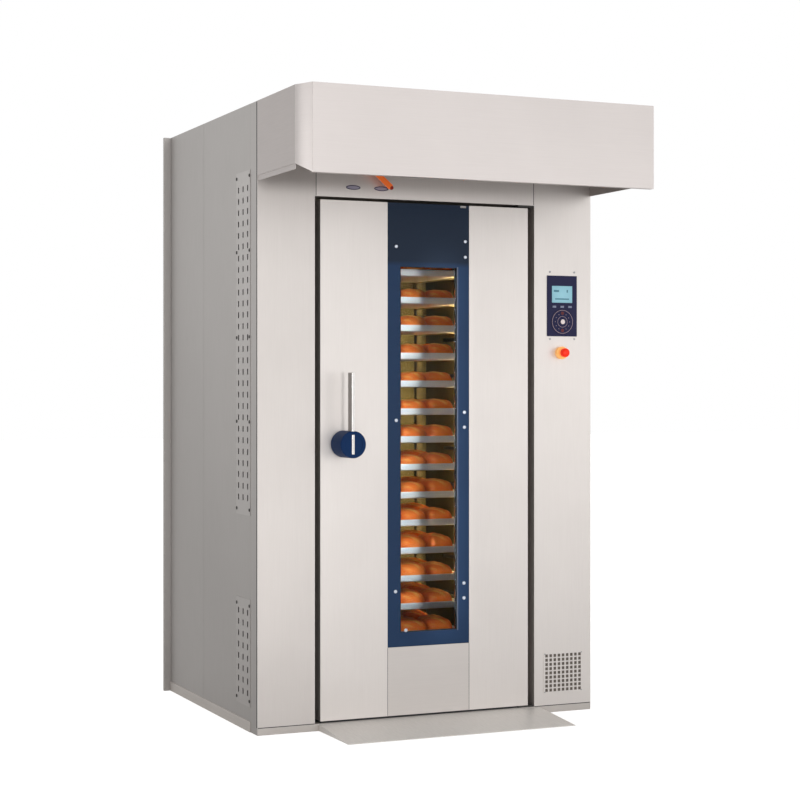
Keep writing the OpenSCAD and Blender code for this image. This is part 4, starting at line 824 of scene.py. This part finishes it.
# thin coated trim along the window's right edge
trimSettings = {"low": (835.5, -1.6, 356), "high": (839.5, 0.2, 1793), "round": 0.7}
trim = boxPiece("window_trim", trimSettings["low"], trimSettings["high"])
rounded(trim, trimSettings["round"], 3)
smoothed(trim)
trimGrey = coated("trimCoat", {"dark": "566074", "light": "66718a", "metal": 0.3})
dressed(trim, trimGrey, "door")

clipSettings = {"low": (849, -1.6, 2028), "high": (874, 0, 2036), "sunkWay": (0, -1, 0),
                "rim": 1.8, "sunk": 0.6, "round": 0.5}


def sunkBox(name, settings):
    # a bar whose side that looks one way is sunk inside a rim
    piece = boxPiece(name, settings["low"], settings["high"])
    edit(piece)
    pick(piece, lambda middle, normal: normal.dot(Vector(settings["sunkWay"])) > 0.9)
    insetMore((settings["rim"], -settings["sunk"]))
    leave()
    rounded(piece, settings["round"])
    smoothed(piece)
    return piece


# small bare clip at the head of the blue frame, on the hinge side, in the darker side sheet with
# its painted shade
dressed(sunkBox("frame_clip", clipSettings), shadedSideSheet, "door")

# raised rim of the boss, which passes over the lever where it enters
rimSettings = {"centre": (350, 1099), "outer": 50.5, "inner": 37.5, "depths": (-104, -101.9),
               "round": 1.0}


def ringPiece(name, centre, outer, inner, depths):
    # flat ring round a point of the front, between two depths
    front, back = depths
    ring = discPiece(name, (centre[0], (front + back) / 2, centre[1]), outer, back - front, 64)
    edit(ring)
    pick(ring, lambda middle, normal: abs(normal.y) > 0.9)
    insetMore((outer - inner, 0))
    at, near = place(centre[0], 0, centre[1]), 0.001
    pick(ring, lambda middle, normal: abs(normal.y) > 0.9
         and math.hypot(middle.x - at.x, middle.z - at.z) < near)
    bpy.ops.mesh.bridge_edge_loops()
    leave()
    return ring


rim = ringPiece("handle_rim", rimSettings["centre"], rimSettings["outer"], rimSettings["inner"],
                rimSettings["depths"])
rounded(rim, rimSettings["round"], 3)
smoothed(rim, 40)
dressed(rim, blueGloss, "handle")

# black beads beside the header and along the cabinet's left corner, painted shade of the narrow
# gaps there, and sealant over the plinth and in the door's lower sheet; each bead runs between two
# corners
jointSettings = {
    "round": 0.3,
    "header_gap_shade": ("cabinet", [((236.2, -0.35, 2052), (238.8, 0.4, 2139)),
                                  ((1176.2, -0.35, 2052), (1178.8, 0.4, 2139))]),
    "corner_gap_shade": ("cabinet", [((-0.35, 2, 29), (0.4, 10, 2398))]),
    "plinth_joints": ("cabinet", [((2, -0.35, 27), (232, 0.4, 30)),
                                  ((1181, -0.35, 27), (1438, 0.4, 30))]),
    "door_joints": ("door", [((535.1, -0.35, 38), (536.9, 0.4, 302)),
                             ((887.1, -0.35, 38), (888.9, 0.4, 302))]),
}


def sealantAndGapShade(name, settings):
    body, lines = settings[name]
    beads = []
    for low, high in lines:
        bead = boxPiece("bead", low, high)
        rounded(bead, settings["round"])
        smoothed(bead)
        beads.append(bead)
    dressed(joined(beads, name), rubber, body)


for name in ("header_gap_shade", "corner_gap_shade", "plinth_joints", "door_joints"):
    sealantAndGapShade(name, jointSettings)

# lip under the door that sweeps the sill
sweepSettings = {"low": (258, 6, 29), "high": (1148, 14, 36), "sunkWay": (0, 0, -1),
                 "rim": 2.5, "sunk": 2, "round": 0.8}
dressed(sunkBox("door_sweep", sweepSettings), rubber, "door")
print("fittings of the door and joints made")

plateSettings = {
    "width": 60, "height": 18, "thick": 1.6, "rim": 2.2, "wall": 0.8, "sunk": 0.5,
    "field": 14, "squash": 2.4, "places": [(391, 2089), (509, 2089)],
}


def barePlate(name, x, z, settings):
    # pressed oval plate with a dark rim and a sunk field, left bare
    width, height, thick = settings["width"], settings["height"], settings["thick"]
    plate = discPiece(name, (0, -thick / 2, 0), width / 2, thick, 48)
    plate.data.transform(Matrix.Diagonal((1, 1, height / width, 1)))
    plate.data.transform(Matrix.Translation(Vector((x, 0, z)) / 1000))
    edit(plate)
    pick(plate, lambda middle, normal: normal.y < -0.9)
    insetMore((settings["rim"], 0), (settings["wall"], -settings["sunk"]))
    leave()
    smoothed(plate, 30)
    return plate


plateBlue = coated("anodisedBlueGrey", {"dark": "2a2644", "light": "3a3656", "shine": 0.2})
plateField = coated("plateField", {"dark": "8f8a9c", "light": "a6a1b2"})
for number, (x, z) in enumerate(plateSettings["places"], 1):
    plate = barePlate(f"header_plate_{number}", x, z, plateSettings)
    dressed(plate, plateBlue, "cabinet")
    at, field, squash = place(x, 0, z), plateSettings["field"] / 1000, plateSettings["squash"]
    secondFinish(plate, plateField, lambda middle, normal: normal.y < -0.9
                 and math.hypot(middle.x - at.x, (middle.z - at.z) * squash) < field)

# screws at the corners of the control panel and of the vent grille
cornerScrews = {
    "panelScrew": {"head": 4.2, "height": 1.8, "x": (1252, 1364), "d": 0, "z": (1513, 1785)},
    "grilleScrew": {"head": 2.6, "height": 1.0, "x": (1228, 1396), "d": -1.5, "z": (83, 237)},
}
screws = [domeBolt(name, x, settings["d"], z, settings)
          for name, settings in cornerScrews.items() for x in settings["x"] for z in settings["z"]]
dressed(joined(screws, "panel_screws"), machined, "cabinet")

# blackened screws down both edges of the vent plates
ventSettings = {
    "head": 6.5, "height": 2.0, "x": -2, "depths": [86, 236],
    "heights": [2127, 1841, 1510, 1185, 848, 481, 117],
}
(firstD, firstZ), *others = [(d, z) for d in ventSettings["depths"]
                             for z in ventSettings["heights"]]
firstScrew = domeBolt("ventScrew", ventSettings["x"], firstD, firstZ, ventSettings, "side")
ventScrews = repeated(firstScrew, "vent_screws", [(0, d - firstD, z - firstZ) for d, z in others])
blackScrew = coated("blackenedScrew", {
    "dark": "2c2a29", "light": "403d3b", "rough": 0.45, "metal": 0.6})
dressed(ventScrews, blackScrew, "cabinet")
print("plates and screws made")

screenSettings = {"low": (1260, -3.6, 1660.5), "high": (1353, -2.05, 1728.5), "round": 0.5}
screen = boxPiece("screen_glass", screenSettings["low"], screenSettings["high"])
rounded(screen, screenSettings["round"])
smoothed(screen)
low, high = place(*screenSettings["low"]), place(*screenSettings["high"])
for loop in screen.data.loops:
    point = screen.data.vertices[loop.vertex_index].co
    screen.data.uv_layers.active.data[loop.index].uv = (
        (point.x - low.x) / (high.x - low.x), (point.z - low.z) / (high.z - low.z))
dressed(screen, litScreen, "cabinet")

# three plain bars on the screen: two short ones above, a long one below
barSettings = {
    "depths": (-3.8, -3.5), "round": 0.1,
    "bars": [(1268, 1292, 1704, 1712), (1327, 1333, 1702, 1713), (1274, 1338, 1673, 1678)],
}
bars = []
for left, right, low, high in barSettings["bars"]:
    front, back = barSettings["depths"]
    bar = boxPiece("bar", (left, front, low), (right, back, high))
    rounded(bar, barSettings["round"], 1)
    bars.append(bar)
barPaint = coated("screenSegments", {
    "dark": "4c8396", "light": "5d93a6", "rough": 0.3, "shine": 0.2})
dressed(joined(bars, "screen_bars"), barPaint, "cabinet")

dialSettings = {
    "centre": (1306.5, 1583), "rings": [(47.6, 46.0), (22.4, 21.2)], "ringDepths": (-6.3, -5.9),
    "pipAngles": (0, 30, 60, 120, 150, 180, 210, 240, 300, 330), "pipFrom": 33, "pip": 1.5,
    "markAngles": (90, 270), "markFrom": 35, "mark": 7,
    "dotDepth": -6.1, "dotThick": 0.5, "dotRim": 0.12, "dotRise": 0.1,
}


def printedDot(angle, distance, radius, settings):
    # low dot on the dial's face with a chamfered edge
    turn = math.radians(angle)
    x = settings["centre"][0] + distance * math.cos(turn)
    z = settings["centre"][1] + distance * math.sin(turn)
    dot = discPiece("dot", (x, settings["dotDepth"], z), radius, settings["dotThick"], 16)
    edit(dot)
    pick(dot, lambda middle, normal: normal.y < -0.9)
    insetMore((radius * settings["dotRim"], settings["dotRise"]))
    leave()
    return dot


# two printed rings and small pips round the dial
printed = [ringPiece("dialRing", dialSettings["centre"], outer, inner, dialSettings["ringDepths"])
           for outer, inner in dialSettings["rings"]]
printed += [printedDot(angle, dialSettings["pipFrom"], dialSettings["pip"], dialSettings)
            for angle in dialSettings["pipAngles"]]
for piece in printed:
    smoothed(piece, 30)
pipPaint = coated("dialPrint", {"dark": "a08890", "light": "c2aab0"})
dressed(joined(printed, "dial_marks"), pipPaint, "dial")

# two red-brown marks on the dial, above and below
marks = [printedDot(angle, dialSettings["markFrom"], dialSettings["mark"], dialSettings)
         for angle in dialSettings["markAngles"]]
markPaint = coated("redBrownPrint", {"dark": "5e2c30", "light": "74383a", "shine": 0.2})
dressed(joined(marks, "dial_marks_red"), markPaint, "dial")

# pale cap in the middle of the dial
capSettings = {"place": (1306.5, -9.4, 1583), "radius": 10, "thick": 1.2, "round": 0.8}
cap = discPiece("dial_cap", capSettings["place"], capSettings["radius"], capSettings["thick"])
edit(cap)
pick(cap, lambda middle, normal: normal.y < -0.9)
bpy.ops.mesh.bevel(offset=capSettings["round"] / 1000, segments=3, affect="EDGES")
leave()
smoothed(cap, 40)
capPaint = coated("dialCapPlastic", {
    "dark": "ecd9d6", "light": "fbeeec", "rough": 0.3, "coat": 0.3})
dressed(cap, capPaint, "dial")

# filter fleece behind the grille, so that its holes show mid grey
fleeceSettings = {"low": (1227, 0.4, 82), "high": (1397, 1.9, 238), "round": 0.4}
fleece = boxPiece("grille_filter", fleeceSettings["low"], fleeceSettings["high"])
rounded(fleece, fleeceSettings["round"])
fleecePaint = coated("filterFleece", {
    "dark": "5d5650", "light": "7c746d", "peel": 500, "cloud": 60.0, "rough": 0.95, "bump": 0.8,
    "shine": 0.1})
dressed(fleece, fleecePaint, "cabinet")
print("controls made")

traySettings = {
    "width": 648, "depth": 448, "height": 29, "corner": 26, "wall": 1.0, "curl": 6,
    "bends": [(5, 0), (2, -3), (2.5, -21), (4, -3)],  # rim, shoulder, sloping wall, foot
    "count": 15, "first": 281, "pitch": 115, "centre": (706.5, 585),
}


def pressedTray(settings):
    # one pressed sheet: rounded corners, flat rim, sloping walls and a curl under the rim
    letGo()
    x, d = settings["centre"]
    bpy.ops.mesh.primitive_plane_add(
        size=1, location=place(x, d, settings["first"] + settings["height"]))
    tray = bpy.context.object
    tray.scale = (settings["width"] / 1000, settings["depth"] / 1000, 1)
    settle(tray)
    edit(tray)
    bpy.ops.mesh.select_mode(type="VERT")
    bpy.ops.mesh.select_all(action="SELECT")
    bpy.ops.mesh.bevel(offset=settings["corner"] / 1000, segments=4, affect="VERTICES")
    bpy.ops.mesh.select_mode(type="FACE")
    bpy.ops.mesh.select_all(action="SELECT")
    insetMore(*settings["bends"])
    bpy.ops.mesh.select_mode(type="EDGE")
    bpy.ops.mesh.select_all(action="DESELECT")
    bpy.ops.mesh.select_non_manifold()
    bpy.ops.mesh.extrude_region_move(
        TRANSFORM_OT_translate={"value": (0, 0, -settings["curl"] / 1000)})
    leave()
    applyOne(tray, "SOLIDIFY", thickness=settings["wall"] / 1000, offset=-1)
    outward(tray)
    smoothed(tray, 40)
    return tray


shifts = [(0, 0, k * traySettings["pitch"]) for k in range(1, traySettings["count"])]
pressedTrays = repeated(pressedTray(traySettings), "pressed_trays", shifts)
dressed(pressedTrays, trayMetal, "rack")
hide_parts("baking_trays")
print("trays made")

# "full" draws the ball out to a loaf, "waves" are radians per metre across and along it, and stray
# to rise say how far the loaves differ
loafSettings = {
    "length": 210, "width": 126, "height": 74, "full": 0.52, "cut": 4, "furrow": 4,
    "waves": (38, 95), "rows": 2, "columns": 5, "apart": (124, 212), "lift": 3.2,
    "strayX": 1.5, "strayD": 2, "turn": 0.05, "grow": (0.93, 1.0), "rise": (0.9, 1.06),
}


def oneLoaf(settings):
    # a ball drawn out to a full loaf with a flat underside and a soft furrow over its back
    letGo()
    bpy.ops.mesh.primitive_uv_sphere_add(segments=20, ring_count=11, radius=1, location=(0, 0, 0))
    loaf = bpy.context.object
    half = Vector((settings["width"] / 2, settings["length"] / 2, settings["height"])) / 1000
    cut, furrow, waves = settings["cut"] / 1000, settings["furrow"] / 1000, settings["waves"]
    for vertex in loaf.data.vertices:
        p = vertex.co
        for axis in range(3):
            p[axis] = math.copysign(abs(p[axis]) ** settings["full"], p[axis]) * half[axis]
        if p.z > half.z / 2:
            p.z += furrow * (math.cos(p.x * waves[0] + p.y * waves[1]) - 1)
    edit(loaf)
    bpy.ops.mesh.select_all(action="SELECT")
    bpy.ops.mesh.bisect(plane_co=(0, 0, cut), plane_no=(0, 0, 1), clear_inner=True, use_fill=True)
    leave()
    loaf.data.transform(Matrix.Translation(Vector((0, 0, -cut))))
    for loop in loaf.data.loops:  # the map lies flat over the loaf, a tenth of a metre to the unit
        point = loaf.data.vertices[loop.vertex_index].co
        loaf.data.uv_layers.active.data[loop.index].uv = (point.x * 10 + 0.5, point.y * 10 + 0.5)
    smoothed(loaf, 60)
    return loaf


random.seed(7)
loaf = oneLoaf(loafSettings)
for k in range(traySettings["count"]):
    level = traySettings["first"] + k * traySettings["pitch"] + loafSettings["lift"]
    strayX, strayD, turn = loafSettings["strayX"], loafSettings["strayD"], loafSettings["turn"]
    batch = []
    for row in range(loafSettings["rows"]):
        for column in range(loafSettings["columns"]):
            other = copied(loaf, "loaf", (0, 0, 0))
            x = (traySettings["centre"][0] + (column - 2) * loafSettings["apart"][0]
                 + random.uniform(-strayX, strayX))
            d = (traySettings["centre"][1] + (row - 0.5) * loafSettings["apart"][1]
                 + random.uniform(-strayD, strayD))
            other.location = place(x, d, level)
            other.rotation_euler = (0, 0, random.uniform(-turn, turn)
                                    + (math.pi if random.random() < 0.5 else 0))
            grow = random.uniform(*loafSettings["grow"])
            other.scale = (grow, grow, random.uniform(*loafSettings["rise"]))
            batch.append(settle(other))
    dressed(joined(batch, f"loaves_{k + 1:02d}"), crust, "rack")
bpy.data.objects.remove(loaf)
print("loaves made")

lampSettings = {
    "radius": 6, "low": 400, "high": 1790, "round": 2,
    "socketRadius": 8, "socketHeight": 38, "socketShift": 18, "socketRound": 2,
    "places": [(1160, 690, warmLamp), (262, 152, coolLamp)],
}
low, high = lampSettings["low"], lampSettings["high"]
for number, (x, d, lampGlass) in enumerate(lampSettings["places"], 1):
    tube = discPiece(f"lamp_tube_{number}", (x, d, (low + high) / 2), lampSettings["radius"],
                     high - low, 20, "up")
    edit(tube)
    pick(tube, lambda middle, normal: abs(normal.z) > 0.9)
    bpy.ops.mesh.bevel(offset=lampSettings["round"] / 1000, segments=3, affect="EDGES")
    leave()
    smoothed(tube, 40)
    dressed(tube, lampGlass, "cabinet")
    sockets = []
    for z in (low - lampSettings["socketShift"], high + lampSettings["socketShift"]):
        socket = discPiece("socket", (x, d, z), lampSettings["socketRadius"],
                           lampSettings["socketHeight"], 20, "up")
        rounded(socket, lampSettings["socketRound"])
        smoothed(socket, 40)
        sockets.append(socket)
    dressed(joined(sockets, f"lamp_sockets_{number}"), machined, "cabinet")
print("lamps made")
